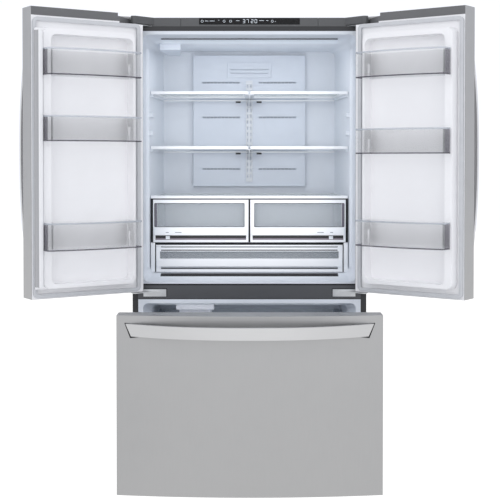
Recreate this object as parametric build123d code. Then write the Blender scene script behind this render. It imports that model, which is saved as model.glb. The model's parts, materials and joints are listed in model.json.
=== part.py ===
from build123d import *
import os

os.makedirs("parts", exist_ok=True)

# Counter-depth three-door refrigerator. Millimetres. X to the right, Y to the
# rear, Z up. The floor is z = 0 and the front plane of the case is y = 0.
# Doors and drawers are drawn closed, then swung or slid to their stored pose.

# ---------------------------------------------------------------- dimensions
# Case and base
CASE_W = 905.0
CASE_D = 613.0
CASE_TOP = 1737.0
CASE_FOOT = 25.0
SHEET = 1.0
SIDE_FLANGE = 22.0
TOP_FLANGE = 18.0
BASE_T = 1.5
BASE_FOOT = 34.0
BASE_TRAY_T = 2.0
DECK_Z = 61.5
SILL_TOP = 97.0
SILL_D = 14.0
RAIL_FOOT = 683.0
RAIL_H = 59.0
RAIL_T = 1.2
RAIL_D = 20.0
MACHINE_D = 213.0
MACHINE_TOP = 300.0
BEAD_PITCH = 200.0
BEAD_W = 24.0
BEAD_T = 3.0

# Feet and rollers
FOOT_INSET = 52.5
FOOT_Y = 45.0
FOOT_R = 18.0
FOOT_T = 7.0
FOOT_NUT_R = 11.0
FOOT_STEM_R = 6.0
SOCKET_HALF = 24.0
SOCKET_H = 20.0
ROLLER_R = 22.0
ROLLER_W = 22.0
ROLLER_BACK = 73.0
AXLE_R = 4.0
RUN_FIT = 0.06

# Insulated rooms
LINER_T = 2.5
JAMB_W = 40.5
FLOOR_T = 32.0
ROOF_T = 53.0
BACK_T = 133.0
LIP_Y = 95.0
NECK_Y = 110.0
NECK_STEP = 15.0
ROOM_TAPER = 30.0
ROOM_R = 26.0
STORE_R = 20.0
STORE_STEP = 24.0
STORE_LIP_Y = 90.0
STORE_FLOOR_T = 27.0
STORE_ROOF_T = 33.0
STORE_BACK_T = 113.0

# Doors and drawer
SEAL_GAP = 12.0
DOOR_T = 76.0
DOOR_BULGE = 18.0
DRAWER_BULGE = 32.0
SIDE_OVERHANG = 1.5
PAIR_GAP = 4.0
DOOR_RISE = 35.0
DOOR_LAP = 21.0
PANEL_GAP = 27.0
DRAWER_FOOT = 79.0
FLANGE_T = 2.0
DYKE_RISE = 40.0
DYKE_FREE = 30.0
POCKET_DEPTH = 50.0
SHELL_T = 2.0
SEAL_BASE = 4.0
PIVOT_IN = 16.0
PIVOT_BACK = 38.0
PIN_R = 5.0
BOSS_R = 12.0
LEFT_OPEN = 146.5
RIGHT_OPEN = 143.5
DRAWER_OUT = 436.0

# Handles
GRIP_HALF = 440.0
GRIP_BELOW = 526.0
GRIP_X = 43.0
GRIP_W = 38.0
GRIP_T = 13.0
GRIP_RISE = 73.0
GRIP_STAND = 14.0
PULL_INSET = 33.0
PULL_H = 41.0
PULL_BELOW = 68.0
PULL_RISE = 102.0
PULL_STAND = 15.0
STUD_R = 4.0
STUD_FIT = 0.4
HANDLE_FIT = 0.3

# Covers, hinges, flap
COVER_RISE = 33.0
COVER_T = 2.5
COVER_D = 110.0
HEADER_X = 264.0
HEADER_D = 56.0
PANEL_X = 193.5
PANEL_H = 24.0
PANEL_FIT = 0.5
LEAF_T = 3.0
ARM_T = 4.0
FLAP_W = 44.0
FLAP_T = 20.0
FLAP_WALL = 2.5
FLAP_AXIS_X = 15.0
FLAP_Y = 11.0
FLAP_PIN_R = 3.0

# Fittings of the upper room
SHELF_DROP = 189.0
SHELF_RISE = 197.0
SHELF_T = 11.0
SHELF_FRONT = 130.0
SHELF_FIT = 3.5
SHELF_LEDGE = 14.0
PANE_T = 4.0
PANE_FIT = 0.5
COVER_SHELF_RISE = 306.0
DECK_RISE = 113.0
DECK_T = 5.0
FITTING_FRONT = 125.0
FITTING_T = 13.0
TUB_T = 2.5
PANTRY_H = 92.0
BIN_T = 2.6
BIN_CORNER_R = 14.0
BIN_DEPTH = 56.0
BIN_BOW = 18.0
LEFT_BIN_END = 28.0
RIGHT_BIN_END = 38.0
LEFT_BIN_DROPS, LEFT_BIN_RISE = (149.0, 384.0), 124.0
LEFT_BIN_HEIGHTS = (95.0, 91.0, 99.0)
RIGHT_BIN_DROPS, RIGHT_BIN_RISE = (148.0, 428.0), 130.0
RIGHT_BIN_HEIGHTS = (95.0, 92.0, 95.0)
DUCT_X = 238.0
DUCT_T = 25.0
LADDER_X = 14.0
LADDER_T = 9.0
LADDER_PITCH = 25.5

# Fittings of the freezer
SLIDE_RISE = 92.0
BASKET_OVER_SLIDE = 18.0
TRAY_OVER_BASKET = 38.0
TRAY_BELOW_ROOF = 62.0
TRAY_FLANGE = 18.0
BASKET_T = 3.0
BASKET_FRONT = 24.0
BASKET_RISE = 16.0
CHANNEL_H = 48.0
MIDDLE_H = 43.0
BAR_H = 32.0
SLIDE_T = 2.0

# Machine compartment
WORKS_BACK = 108.0
CAN_R = 72.0
CAN_INSET = 202.5
FAN_FROM_CAN = 176.0
FAN_Z = 130.0
FAN_R = 60.0
COIL_INSET = 107.5
COIL_H = 154.0
FIN_PITCH = 26.0
FIN_T = 1.2
TUBE_R = 4.5
SHROUD_T = 4.0

# ------------------------------------------------------ places that follow
HALF_W = CASE_W / 2
INNER_X = HALF_W - SHEET
FACE_X = HALF_W - SIDE_FLANGE
FACE_TOP = CASE_TOP - TOP_FLANGE
REAR_Y = CASE_D - SHEET
COVER_TOP = CASE_TOP + COVER_RISE
MACHINE_Y = CASE_D - MACHINE_D
MACHINE_FLOOR = BASE_FOOT + BASE_TRAY_T
RAIL_TOP = RAIL_FOOT + RAIL_H
FOOT_X = HALF_W - FOOT_INSET
ROLLER_Y = CASE_D - ROLLER_BACK

FRONT_Y = -SEAL_GAP - DOOR_T
DOOR_X = HALF_W + SIDE_OVERHANG
MEET_X = PAIR_GAP / 2
DOOR_TOP = CASE_TOP + DOOR_RISE
DOOR_FOOT = RAIL_TOP - DOOR_LAP
DRAWER_TOP = DOOR_FOOT - PANEL_GAP
PIVOT_X = DOOR_X - PIVOT_IN
PIVOT_Y = FRONT_Y + PIVOT_BACK

MOUTH_X = HALF_W - JAMB_W
FRIDGE_FLOOR = RAIL_TOP + FLOOR_T
FRIDGE_CEIL = CASE_TOP - ROOF_T
FRIDGE_BACK = CASE_D - BACK_T
MOUTH_FOOT = FRIDGE_FLOOR - 24.0
MOUTH_TOP = FRIDGE_CEIL + 22.0

STORE_X = MOUTH_X - STORE_STEP
STORE_FLOOR = SILL_TOP + STORE_FLOOR_T
STORE_TOP = RAIL_FOOT - STORE_ROOF_T
STORE_BACK = CASE_D - STORE_BACK_T
STORE_STEP_Y = MACHINE_Y - 15.0
STORE_STEP_Z = MACHINE_TOP + 30.0
STORE_MOUTH_FOOT = STORE_FLOOR - 14.0
STORE_MOUTH_TOP = STORE_TOP + 18.0

SHELF_BACK = FRIDGE_BACK - 36.0
COVER_SHELF_TOP = FRIDGE_FLOOR + COVER_SHELF_RISE
SHELF_TOPS = (FRIDGE_CEIL - SHELF_DROP, COVER_SHELF_TOP + SHELF_RISE)
DECK_FOOT = FRIDGE_FLOOR + DECK_RISE
DECK_TOP = DECK_FOOT + DECK_T
SLIDE_Z = STORE_STEP_Z + SLIDE_RISE
BASKET_TOP = SLIDE_Z + BASKET_OVER_SLIDE
TRAY_FOOT = BASKET_TOP + TRAY_OVER_BASKET
TRAY_TOP = STORE_TOP - TRAY_BELOW_ROOF


# ------------------------------------------------------------------- helpers
def box(x0, x1, y0, y1, z0, z1):
    centre = Pos((x0 + x1) / 2, (y0 + y1) / 2, (z0 + z1) / 2)
    return centre * Box(x1 - x0, y1 - y0, z1 - z0)


def across(half, y0, y1, z0, z1):
    """Box from -half to half."""
    return box(-half, half, y0, y1, z0, z1)


def rod(r, start, end):
    a, b = Vector(*start), Vector(*end)
    low = (Align.CENTER, Align.CENTER, Align.MIN)
    return Plane(a, z_dir=(b - a)) * Cylinder(r, (b - a).length, align=low)


def upright(r, x, y, z0, z1):
    return rod(r, (x, y, z0), (x, y, z1))


def slab(points, z0, z1):
    face = make_face(Polyline(*[(x, y, z0) for x, y in points], close=True))
    return extrude(face, amount=z1 - z0, dir=(0, 0, 1))


def side_slab(points, x0, x1):
    face = make_face(Polyline(*[(x0, y, z) for y, z in points], close=True))
    return extrude(face, amount=x1 - x0, dir=(1, 0, 0))


def front_slab(points, y0, y1):
    face = make_face(Polyline(*[(x, y0, z) for x, z in points], close=True))
    return extrude(face, amount=y1 - y0, dir=(0, 1, 0))


def total(shapes):
    """Union of several shapes."""
    shapes = list(shapes)
    out = shapes[0]
    for shape in shapes[1:]:
        out += shape
    return out


def row(pitch, count):
    """Centres of a row of equal steps about zero."""
    return [(k - (count - 1) / 2) * pitch for k in range(count)]


def section(half, z0, z1, y, r, cx=0.0):
    plane = Plane(origin=(cx, y, (z0 + z1) / 2), x_dir=(1, 0, 0), z_dir=(0, 1, 0))
    return (plane * RectangleRounded(2 * half, z1 - z0, r)).faces()[0]


def cavity(stations, r, grow=0.0):
    """Tapering room with rounded corners; a station is (y, half, z0, z1)."""
    pieces = []
    for (y0, h0, a0, b0), (y1, h1, a1, b1) in zip(stations, stations[1:]):
        near = section(h0 + grow, a0 - grow, b0 + grow, y0, r + grow)
        far = section(h1 + grow, a1 - grow, b1 + grow, y1, r + grow)
        pieces.append(loft([near, far], ruled=True))
    return total(pieces)


def mirrored(shape):
    return mirror(shape, about=Plane.YZ)


def both(shape):
    return shape + mirrored(shape)


def save(name, shape):
    shape.label = name
    export_step(shape, f"parts/{name}.step")


def swing_left(shape):
    pivot = Pos(-PIVOT_X, PIVOT_Y, 0)
    return pivot * Rot(0, 0, -LEFT_OPEN) * Pos(PIVOT_X, -PIVOT_Y, 0) * shape


def swing_right(shape):
    pivot = Pos(PIVOT_X, PIVOT_Y, 0)
    return pivot * Rot(0, 0, RIGHT_OPEN) * Pos(-PIVOT_X, -PIVOT_Y, 0) * shape


def slide_out(shape, travel=DRAWER_OUT):
    return Pos(0, -travel, 0) * shape


# Stations of the upper room: (y, half width, floor, ceiling).
UPPER_ROOM = (
    (0.0, MOUTH_X, MOUTH_FOOT, MOUTH_TOP),
    (LIP_Y, MOUTH_X - 6, FRIDGE_FLOOR - 3.3, FRIDGE_CEIL + 3),
    (NECK_Y, MOUTH_X - NECK_STEP, FRIDGE_FLOOR, FRIDGE_CEIL),
    (FRIDGE_BACK, MOUTH_X - NECK_STEP - ROOM_TAPER, FRIDGE_FLOOR, FRIDGE_CEIL),
)


def along_room(y, column):
    """A station's value at any depth: 1 is the half width, 3 the ceiling."""
    for near, far in zip(UPPER_ROOM, UPPER_ROOM[1:]):
        if y <= far[0]:
            break
    share = (y - near[0]) / (far[0] - near[0])
    return near[column] + (far[column] - near[column]) * share


def wall(y):
    return along_room(y, 1)


def ceiling(y):
    return along_room(y, 3)


# --------------------------------------------------------------------- case
wrap = across(HALF_W, 0, REAR_Y, CASE_FOOT, CASE_TOP)
wrap -= across(INNER_X, SHEET, CASE_D, CASE_FOOT - 1, CASE_TOP - SHEET)
wrap -= across(FACE_X, -1, SHEET + 1, CASE_FOOT - 1, FACE_TOP)
save("case_wrap", wrap)

REAR_BEADS = row(BEAD_PITCH, int(2 * INNER_X // BEAD_PITCH))
rear = across(HALF_W, REAR_Y, CASE_D, MACHINE_TOP + 0.5, CASE_TOP)
for bead_x in REAR_BEADS:
    bead = across(BEAD_W / 2, CASE_D, CASE_D + BEAD_T, MACHINE_TOP + 120, CASE_TOP - 97)
    rear += Pos(bead_x, 0, 0) * bead
save("rear_panel", rear)

# Stepped floor of the insulated box, with the machine tray, the front sill,
# the foot sockets and the roller forks.
DECK_UNDER = DECK_Z - BASE_T
frame = across(INNER_X, SHEET, MACHINE_Y + BASE_T, DECK_UNDER, DECK_Z)
frame += across(INNER_X, MACHINE_Y, MACHINE_Y + BASE_T, BASE_FOOT, MACHINE_TOP)
frame += across(INNER_X, MACHINE_Y, REAR_Y, MACHINE_TOP, MACHINE_TOP + BASE_T)
frame += across(INNER_X, MACHINE_Y, REAR_Y - 0.5, BASE_FOOT, MACHINE_FLOOR)
frame += across(FACE_X, 0, BASE_T, DECK_UNDER, SILL_TOP)
frame += across(FACE_X, 0, SILL_D, SILL_TOP - BASE_T, SILL_TOP)
stem_hole = upright(FOOT_STEM_R + RUN_FIT, -FOOT_X, FOOT_Y, DECK_UNDER - SOCKET_H - 1, DECK_Z + 0.1)
socket_y = (FOOT_Y - SOCKET_HALF, FOOT_Y + SOCKET_HALF)
socket = across(SOCKET_HALF, *socket_y, DECK_UNDER - SOCKET_H, DECK_UNDER)
frame += both(Pos(-FOOT_X, 0, 0) * socket - stem_hole)
FORK_GAP, FORK_T = ROLLER_W / 2 + 3, 3.0
fork = box(FORK_GAP, FORK_GAP + FORK_T, ROLLER_Y - 20, ROLLER_Y + 20, ROLLER_R - 10, BASE_FOOT)
frame += both(Pos(-FOOT_X, 0, 0) * both(fork))
frame -= both(stem_hole)
frame -= rod(AXLE_R + RUN_FIT, (-FACE_X, ROLLER_Y, ROLLER_R), (FACE_X, ROLLER_Y, ROLLER_R))
well = across(ROLLER_W / 2 + 2, ROLLER_Y - 30, ROLLER_Y + 30, BASE_FOOT - 1, MACHINE_FLOOR + 1)
frame -= both(Pos(-FOOT_X, 0, 0) * well)
save("base_frame", frame)

foot = upright(FOOT_R, -FOOT_X, FOOT_Y, 0, FOOT_T)
foot += upright(FOOT_NUT_R, -FOOT_X, FOOT_Y, FOOT_T, 2 * FOOT_T)
foot += upright(FOOT_STEM_R, -FOOT_X, FOOT_Y, 2 * FOOT_T, DECK_Z)
save("front_feet", both(foot))

wheel_x = (-FOOT_X - ROLLER_W / 2, -FOOT_X + ROLLER_W / 2)
wheel = rod(ROLLER_R, (wheel_x[0], ROLLER_Y, ROLLER_R), (wheel_x[1], ROLLER_Y, ROLLER_R))
axle_x = FOOT_X + FORK_GAP + FORK_T + 1.5
axle = rod(AXLE_R, (-axle_x, ROLLER_Y, ROLLER_R), (axle_x, ROLLER_Y, ROLLER_R))
save("rear_rollers", both(wheel) + axle)

rail = across(FACE_X, 0, RAIL_T, RAIL_FOOT, RAIL_TOP)
rail += across(FACE_X, RAIL_T, RAIL_D, RAIL_FOOT, RAIL_FOOT + RAIL_T)
rail += across(FACE_X, RAIL_T, RAIL_D, RAIL_TOP - RAIL_T, RAIL_TOP)
save("mid_rail", rail)

# ------------------------------------------------------------------- liners
LEDGE_W, LEDGE_T = 10.0, 10.0
LUG_DROPS, LUG_W, LUG_H, LUG_L = (276.0, 348.0), 12.0, 16.0, 60.0


def wall_strip(y0, y1, width, z0, z1):
    """Strip that stands on the left wall between two depths."""
    outer = [(-wall(y0) - 1, y0), (-wall(y0) + width, y0)]
    return slab(outer + [(-wall(y1) + width, y1), (-wall(y1) - 1, y1)], z0, z1)


room = cavity(UPPER_ROOM, ROOM_R)
mouth_face = section(MOUTH_X, MOUTH_FOOT, MOUTH_TOP, 0, ROOM_R)
mouth = extrude(mouth_face, amount=1, dir=(0, -1, 0))
back_station = (FRIDGE_BACK + LINER_T, *UPPER_ROOM[3][1:])
room_skin = cavity((*UPPER_ROOM[:3], back_station), ROOM_R, LINER_T)
fridge_flange = across(FACE_X, 0, LINER_T, RAIL_TOP, FACE_TOP)
seats = [top - SHELF_T for top in (*SHELF_TOPS, COVER_SHELF_TOP)] + [DECK_FOOT]
ledges = total(
    wall_strip(SHELF_FRONT + 15, SHELF_BACK, LEDGE_W, seat - LEDGE_T, seat) for seat in seats
)
for lug_top in (FRIDGE_CEIL - drop for drop in LUG_DROPS):
    ledges += wall_strip(NECK_Y + 5, NECK_Y + 5 + LUG_L, LUG_W, lug_top - LUG_H, lug_top)
fridge_liner = (fridge_flange + room_skin) - room - mouth + both(ledges)
save("fridge_liner", fridge_liner)

STORE_LIP = (STORE_LIP_Y, STORE_X, STORE_FLOOR, STORE_TOP)
STORE_ROOMS = (
    ((0.0, MOUTH_X, STORE_MOUTH_FOOT, STORE_MOUTH_TOP), STORE_LIP),
    (STORE_LIP, (STORE_STEP_Y, STORE_X, STORE_FLOOR, STORE_TOP)),
    ((STORE_STEP_Y, STORE_X, STORE_STEP_Z, STORE_TOP), (STORE_BACK, STORE_X, STORE_STEP_Z, STORE_TOP)),
)
store = total(cavity(stations, STORE_R) for stations in STORE_ROOMS)
store_skin = cavity(STORE_ROOMS[0], STORE_R, LINER_T)
for near_end, far_end in STORE_ROOMS[1:]:
    deeper = (far_end[0] + LINER_T, *far_end[1:])
    store_skin += cavity((near_end, deeper), STORE_R, LINER_T)
store_face = section(MOUTH_X, STORE_MOUTH_FOOT, STORE_MOUTH_TOP, 0, STORE_R)
store_mouth = extrude(store_face, amount=1, dir=(0, -1, 0))
freezer_flange = across(FACE_X, 0, LINER_T, SILL_TOP, RAIL_FOOT)
TRAY_EDGE = TRAY_TOP - BASKET_T
tray_ledge = box(-STORE_X - 1, -STORE_X + 22, 120, STORE_BACK - 40, TRAY_EDGE - 10, TRAY_EDGE)
freezer_liner = (freezer_flange + store_skin) - store - store_mouth + both(tray_ledge)
save("freezer_liner", freezer_liner)

foam = across(INNER_X, SHEET, REAR_Y, DECK_Z, CASE_TOP - SHEET)
foam -= across(FACE_X, 0, LINER_T, DECK_Z - 1, FACE_TOP)
foam -= across(HALF_W, MACHINE_Y, CASE_D, DECK_Z - 1, MACHINE_TOP + BASE_T)
foam -= room_skin
foam -= store_skin
foam -= across(FACE_X, 0, RAIL_D, RAIL_FOOT, RAIL_TOP)
foam += across(FACE_X, LINER_T, RAIL_D, RAIL_FOOT + RAIL_T, RAIL_TOP - RAIL_T)
foam -= across(FACE_X, 0, SILL_D, DECK_Z - 1, SILL_TOP)
foam -= both(upright(FOOT_STEM_R + 0.1, -FOOT_X, FOOT_Y, DECK_UNDER, DECK_Z + 0.1))
save("insulation", foam)

# ---------------------------------------------------- covers, panel, hinges
PANEL_TOP = COVER_TOP - 1.5
PANEL_FOOT = PANEL_TOP - PANEL_H
PANEL_SEAT = 1.4
housing = across(HEADER_X, 0, HEADER_D, CASE_TOP, COVER_TOP)
housing -= across(
    HEADER_X - COVER_T, COVER_T, HEADER_D - COVER_T, CASE_TOP - 1, COVER_TOP - COVER_T
)
housing -= across(
    PANEL_X + PANEL_FIT, -1, PANEL_SEAT, PANEL_FOOT - PANEL_FIT, PANEL_TOP + PANEL_FIT
)
save("control_panel", across(PANEL_X, -1.6, PANEL_SEAT, PANEL_FOOT, PANEL_TOP))


def about_pivot(points):
    """Points given from the left hinge pin."""
    return [(-PIVOT_X + dx, PIVOT_Y + dy) for dx, dy in points]


LOBE_TIP = [(-14, 4), (-13, -7), (-5, -14), (6, -13), (13, -6)]
LOBE_INNER = [(-10.6, 3.5), (-9.5, -5), (-4, -10.5), (5, -10), (11, -4)]
COVER_X = HALF_W - 3.5
lobe = [(-PIVOT_X + 4, 0), *about_pivot(LOBE_TIP), (-PIVOT_X + 70, 0)]
lobe_inner = [(-PIVOT_X + 7, 3), *about_pivot(LOBE_INNER), (-PIVOT_X + 63.5, 3)]
cover = box(-COVER_X, -HEADER_X - 1, 0, COVER_D, CASE_TOP, COVER_TOP)
cover += slab(lobe, CASE_TOP + LEAF_T + 1.5, COVER_TOP)
hollow = box(
    -COVER_X + COVER_T,
    -HEADER_X - 1 - COVER_T,
    COVER_T,
    COVER_D - COVER_T,
    CASE_TOP - 1,
    COVER_TOP - COVER_T,
)
hollow += slab(lobe_inner, CASE_TOP - 1, COVER_TOP - COVER_T)
save("top_covers", housing + both(cover - hollow))

LEAF_TIP = [(10, -4), (4, -10.5), (-4, -11), (-10.5, -5), (-11, 3)]
leaf_x = (-PIVOT_X + 10, -PIVOT_X + 103)
leaf_back = [(leaf_x[0], COVER_D - 25), (leaf_x[1], COVER_D - 25), (leaf_x[1], 8)]
leaf_outline = [*leaf_back, (-PIVOT_X + 58, 3), *about_pivot(LEAF_TIP), (leaf_x[0], 2)]
PIN_L = 32.0
leaf = slab(leaf_outline, CASE_TOP, CASE_TOP + LEAF_T)
leaf += upright(PIN_R, -PIVOT_X, PIVOT_Y, CASE_TOP - PIN_L, CASE_TOP)
for sx, sy in ((28, 30), (78, 30), (53, 65)):
    leaf += upright(6, -PIVOT_X + sx, sy, CASE_TOP + LEAF_T, CASE_TOP + LEAF_T + 4)
save("top_hinges", both(leaf))

ARM_TIP = [(14, -7), (6, -13.5), (-6, -13.5), (-14, -6), (-14, 4)]
PLATE_T = 3.0
ARM_TOP = DOOR_FOOT - 5
plate = box(-PIVOT_X + 28, -PIVOT_X + 116, -PLATE_T, 0, RAIL_FOOT + 11, RAIL_TOP - 20)
for sx in (46, 98):
    screw_x, screw_z = -PIVOT_X + sx, RAIL_FOOT + 20
    plate += rod(5, (screw_x, -PLATE_T - 3, screw_z), (screw_x, -PLATE_T, screw_z))
arm = [(-PIVOT_X + 30, -PLATE_T), (-PIVOT_X + 93, -PLATE_T), *about_pivot(ARM_TIP)]
plate += slab(arm, ARM_TOP - ARM_T, ARM_TOP)
plate += upright(2 * PIN_R, -PIVOT_X, PIVOT_Y, ARM_TOP, DOOR_FOOT - 1)
plate += upright(PIN_R, -PIVOT_X, PIVOT_Y, DOOR_FOOT - 1, DOOR_FOOT + 27)
save("mid_hinges", both(plate))

# ------------------------------------------------------- service covers, works
GRILLE_X, GRILLE_FOOT, GRILLE_Y, GRILLE_D = FACE_X - 6.5, 18.0, 8.0, 12.0
SLOT_PITCH, SLOT_W = 60.0, 44.0
grille = across(GRILLE_X, GRILLE_Y, GRILLE_Y + GRILLE_D, GRILLE_FOOT, DECK_UNDER)
grille -= across(GRILLE_X - 4, GRILLE_Y + 3, GRILLE_Y + GRILLE_D + 1, GRILLE_FOOT + 2, DECK_UNDER - 2)
for slot_x in row(SLOT_PITCH, int(2 * (GRILLE_X - 4) // SLOT_PITCH)):
    for slot_z in (GRILLE_FOOT + 7 + 10 * k for k in range(3)):
        slot = across(SLOT_W / 2, GRILLE_Y - 1, GRILLE_Y + 4, slot_z, slot_z + 5)
        grille -= Pos(slot_x, 0, 0) * slot
back_cover = across(HALF_W, REAR_Y, CASE_D + 0.5, MACHINE_FLOOR, MACHINE_TOP)
for louvre_z in (MACHINE_FLOOR + 54 + 20 * k for k in range(8)):
    for bank in REAR_BEADS:
        louvre = across(70, REAR_Y - 1, CASE_D + 1, louvre_z, louvre_z + 8)
        back_cover -= Pos(bank, 0, 0) * louvre
gland_x, gland_z = -HALF_W + 32.5, MACHINE_FLOOR + 24
back_cover += rod(11, (gland_x, CASE_D, gland_z), (gland_x, CASE_D + 9, gland_z))
save("service_covers", grille + back_cover)

CAN_X = HALF_W - CAN_INSET
FAN_X = CAN_X - FAN_FROM_CAN
WORKS_Y = CASE_D - WORKS_BACK
CAN_FOOT = MACHINE_FLOOR + 16
can = upright(CAN_R, CAN_X, WORKS_Y, CAN_FOOT, CAN_FOOT + 118)
can += Pos(CAN_X, WORKS_Y, CAN_FOOT + 134) * Cone(CAN_R, CAN_R - 32, 32)
can += Pos(CAN_X, WORKS_Y, CAN_FOOT - 4) * Box(2 * CAN_R + 16, 2 * CAN_R - 4, 8)
for fx, fy in ((-1, -1), (1, -1), (-1, 1), (1, 1)):
    mount = (CAN_X + fx * (CAN_R - 2), WORKS_Y + fy * (CAN_R - 12))
    can += upright(9, *mount, MACHINE_FLOOR, CAN_FOOT - 6)
pipe_y = WORKS_Y - CAN_R + 7
can += rod(5, (CAN_X, pipe_y, 120), (CAN_X, pipe_y - 24, 120))

COIL_X0, COIL_X1 = -HALF_W + COIL_INSET, FAN_X - 97
END_T = 5.0
coil = Pos(0, WORKS_Y, 0) * box(COIL_X0, COIL_X0 + END_T, -65, 65, MACHINE_FLOOR, MACHINE_FLOOR + COIL_H)
coil += Pos(0, WORKS_Y, 0) * box(COIL_X1 - END_T, COIL_X1, -65, 65, MACHINE_FLOOR, MACHINE_FLOOR + COIL_H)
for fin in range(int((COIL_X1 - COIL_X0 - 36) // FIN_PITCH) + 1):
    fx = COIL_X0 + 15 + fin * FIN_PITCH
    fin_z = (MACHINE_FLOOR + 14, MACHINE_FLOOR + COIL_H)
    coil += Pos(0, WORKS_Y, 0) * box(fx, fx + FIN_T, -65, 65, *fin_z)
for ty in (WORKS_Y - 45, WORKS_Y, WORKS_Y + 45):
    for tz in (MACHINE_FLOOR + 34, MACHINE_FLOOR + 84, MACHINE_FLOOR + 134):
        coil += rod(TUBE_R, (COIL_X0, ty, tz), (COIL_X1 - END_T, ty, tz))

HUB_L, SHAFT_R = 24.0, 3.0
hub_end = FAN_X + HUB_L / 2
fan = rod(14, (FAN_X - HUB_L / 2, WORKS_Y, FAN_Z), (hub_end, WORKS_Y, FAN_Z))
for k in range(5):
    twist = Pos(FAN_X - 6.5, WORKS_Y, FAN_Z) * Rot(72 * k, 0, 0)
    blade = Box(3, FAN_R - 8, 34)
    fan += twist * Pos(0, FAN_R - 26, 0) * Rot(0, 24, 0) * blade
fan += rod(SHAFT_R, (hub_end, WORKS_Y, FAN_Z), (hub_end + 14, WORKS_Y, FAN_Z))
save("condenser_fan", fan)

motor = rod(24, (hub_end + 1, WORKS_Y, FAN_Z), (hub_end + 50, WORKS_Y, FAN_Z))
motor -= rod(SHAFT_R + RUN_FIT, (hub_end, WORKS_Y, FAN_Z), (hub_end + 15, WORKS_Y, FAN_Z))
shroud_x = (hub_end + 24, hub_end + 24 + SHROUD_T)
shroud = box(*shroud_x, WORKS_Y - 80, WORKS_Y + 80, MACHINE_FLOOR, FAN_Z + 85)
shroud -= rod(FAN_R + 6, (shroud_x[0] - 1, WORKS_Y, FAN_Z), (shroud_x[1] + 1, WORKS_Y, FAN_Z))
shroud += box(*shroud_x, WORKS_Y - 7, WORKS_Y + 7, FAN_Z - 70, FAN_Z + 70)
save("refrigeration_unit", can + coil + motor + shroud)

# --------------------------------------------------- fridge room fittings
DUCT_FRONT = FRIDGE_BACK - DUCT_T
DUCT_TOP = FRIDGE_CEIL - 16
DUCT_FOOT = COVER_SHELF_TOP + 30
duct = across(DUCT_X, DUCT_FRONT, FRIDGE_BACK, DUCT_FOOT, DUCT_TOP)
duct += across(93, DUCT_FRONT - 5, DUCT_FRONT, DUCT_TOP - 96, DUCT_TOP - 32)
for slot_z in (DUCT_TOP - 120, DUCT_TOP - 268, DUCT_TOP - 488):
    port = box(40, 200, DUCT_FRONT - 1, DUCT_FRONT + 11, slot_z, slot_z + 7)
    duct -= both(port)
for slot_z in (DUCT_TOP - 80, DUCT_TOP - 64):
    duct -= across(80, DUCT_FRONT - 6, DUCT_FRONT + 3, slot_z, slot_z + 5)
FILTER_X = MOUTH_X - 99
filter_y = (NECK_Y + 2, FRIDGE_BACK - 100)
filter_plan = [
    (-FILTER_X - 41, filter_y[0]),
    (-FILTER_X + 41, filter_y[0]),
    (-FILTER_X + 23, filter_y[1]),
    (-FILTER_X - 27, filter_y[1]),
]
save("air_duct", duct + slab(filter_plan, FRIDGE_CEIL - 26, FRIDGE_CEIL))

LENS_Y0, LENS_Y1 = 50.0, 106.0
lens_section = [
    (LENS_Y0, ceiling(LENS_Y0)),
    (LENS_Y0, ceiling(LENS_Y0) - 5),
    (LENS_Y1, ceiling(LENS_Y1) - 3.8),
    (LENS_Y1, ceiling(LENS_Y1)),
]
LENS_X = MOUTH_X - 67
save("light_lens", side_slab(lens_section, -LENS_X, LENS_X))

LADDER_FRONT = DUCT_FRONT - LADDER_T
LADDER_FOOT, LADDER_TOP = COVER_SHELF_TOP + 50, FRIDGE_CEIL - 124
ARM_FRONT = SHELF_FRONT + 12
ladder = across(LADDER_X, LADDER_FRONT, DUCT_FRONT, LADDER_FOOT, LADDER_TOP)
slots = []
for n in range(int((LADDER_TOP - LADDER_FOOT - 22) // LADDER_PITCH)):
    slot_z = LADDER_FOOT + 16 + n * LADDER_PITCH
    slots.append(both(box(4.5, 9.5, LADDER_FRONT - 1, DUCT_FRONT + 1, slot_z, slot_z + 14)))
ladder -= total(slots)
for top in SHELF_TOPS:
    under = top - SHELF_T
    ladder += across(LADDER_X, ARM_FRONT, LADDER_FRONT, under - 3, under)
    web = [
        (LADDER_FRONT, under - 44),
        (LADDER_FRONT, under - 3),
        (ARM_FRONT, under - 3),
        (ARM_FRONT, under - 12),
    ]
    ladder += side_slab(web, -1.5, 1.5)
save("shelf_ladder", ladder)


def rim(outline, z_top, ledge):
    """Shelf frame: a bar all round with a seat for the pane."""
    face = make_face(Polyline(*[(x, y, 0) for x, y in outline], close=True))
    seat_t = PANE_T + PANE_FIT

    def inset(amount, z0, z1):
        shape = offset(face, amount=-amount, kind=Kind.INTERSECTION)
        return Pos(0, 0, z0) * extrude(shape, amount=z1 - z0, dir=(0, 0, 1))

    body = Pos(0, 0, z_top - SHELF_T) * extrude(face, amount=SHELF_T, dir=(0, 0, 1))
    body -= inset(ledge, z_top - SHELF_T - 1, z_top + 1)
    body -= inset(ledge - 5, z_top - seat_t, z_top + 1.5)
    pane = inset(ledge - 5 + PANE_FIT, z_top - seat_t, z_top - PANE_FIT)
    return body, pane


def shelf_plan(y0, x1=None):
    """Outline of a shelf from its front edge back, to x1 or the right wall."""
    left0, left1 = -wall(y0) + SHELF_FIT, -wall(SHELF_BACK) + SHELF_FIT
    right0, right1 = (-left0, -left1) if x1 is None else (x1, x1)
    return [(left0, y0), (right0, y0), (right1, SHELF_BACK), (left1, SHELF_BACK)]


frames, panes = [], []
for top in SHELF_TOPS:
    one, pane = rim(shelf_plan(SHELF_FRONT, -4), top, SHELF_LEDGE)
    frames.append(both(one))
    panes.append(both(pane))
save("shelf_frames", total(frames))
cover_rim, cover_pane = rim(shelf_plan(SHELF_FRONT), COVER_SHELF_TOP, SHELF_LEDGE + 4)
save("shelf_glass", total([*panes, cover_pane]))

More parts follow.
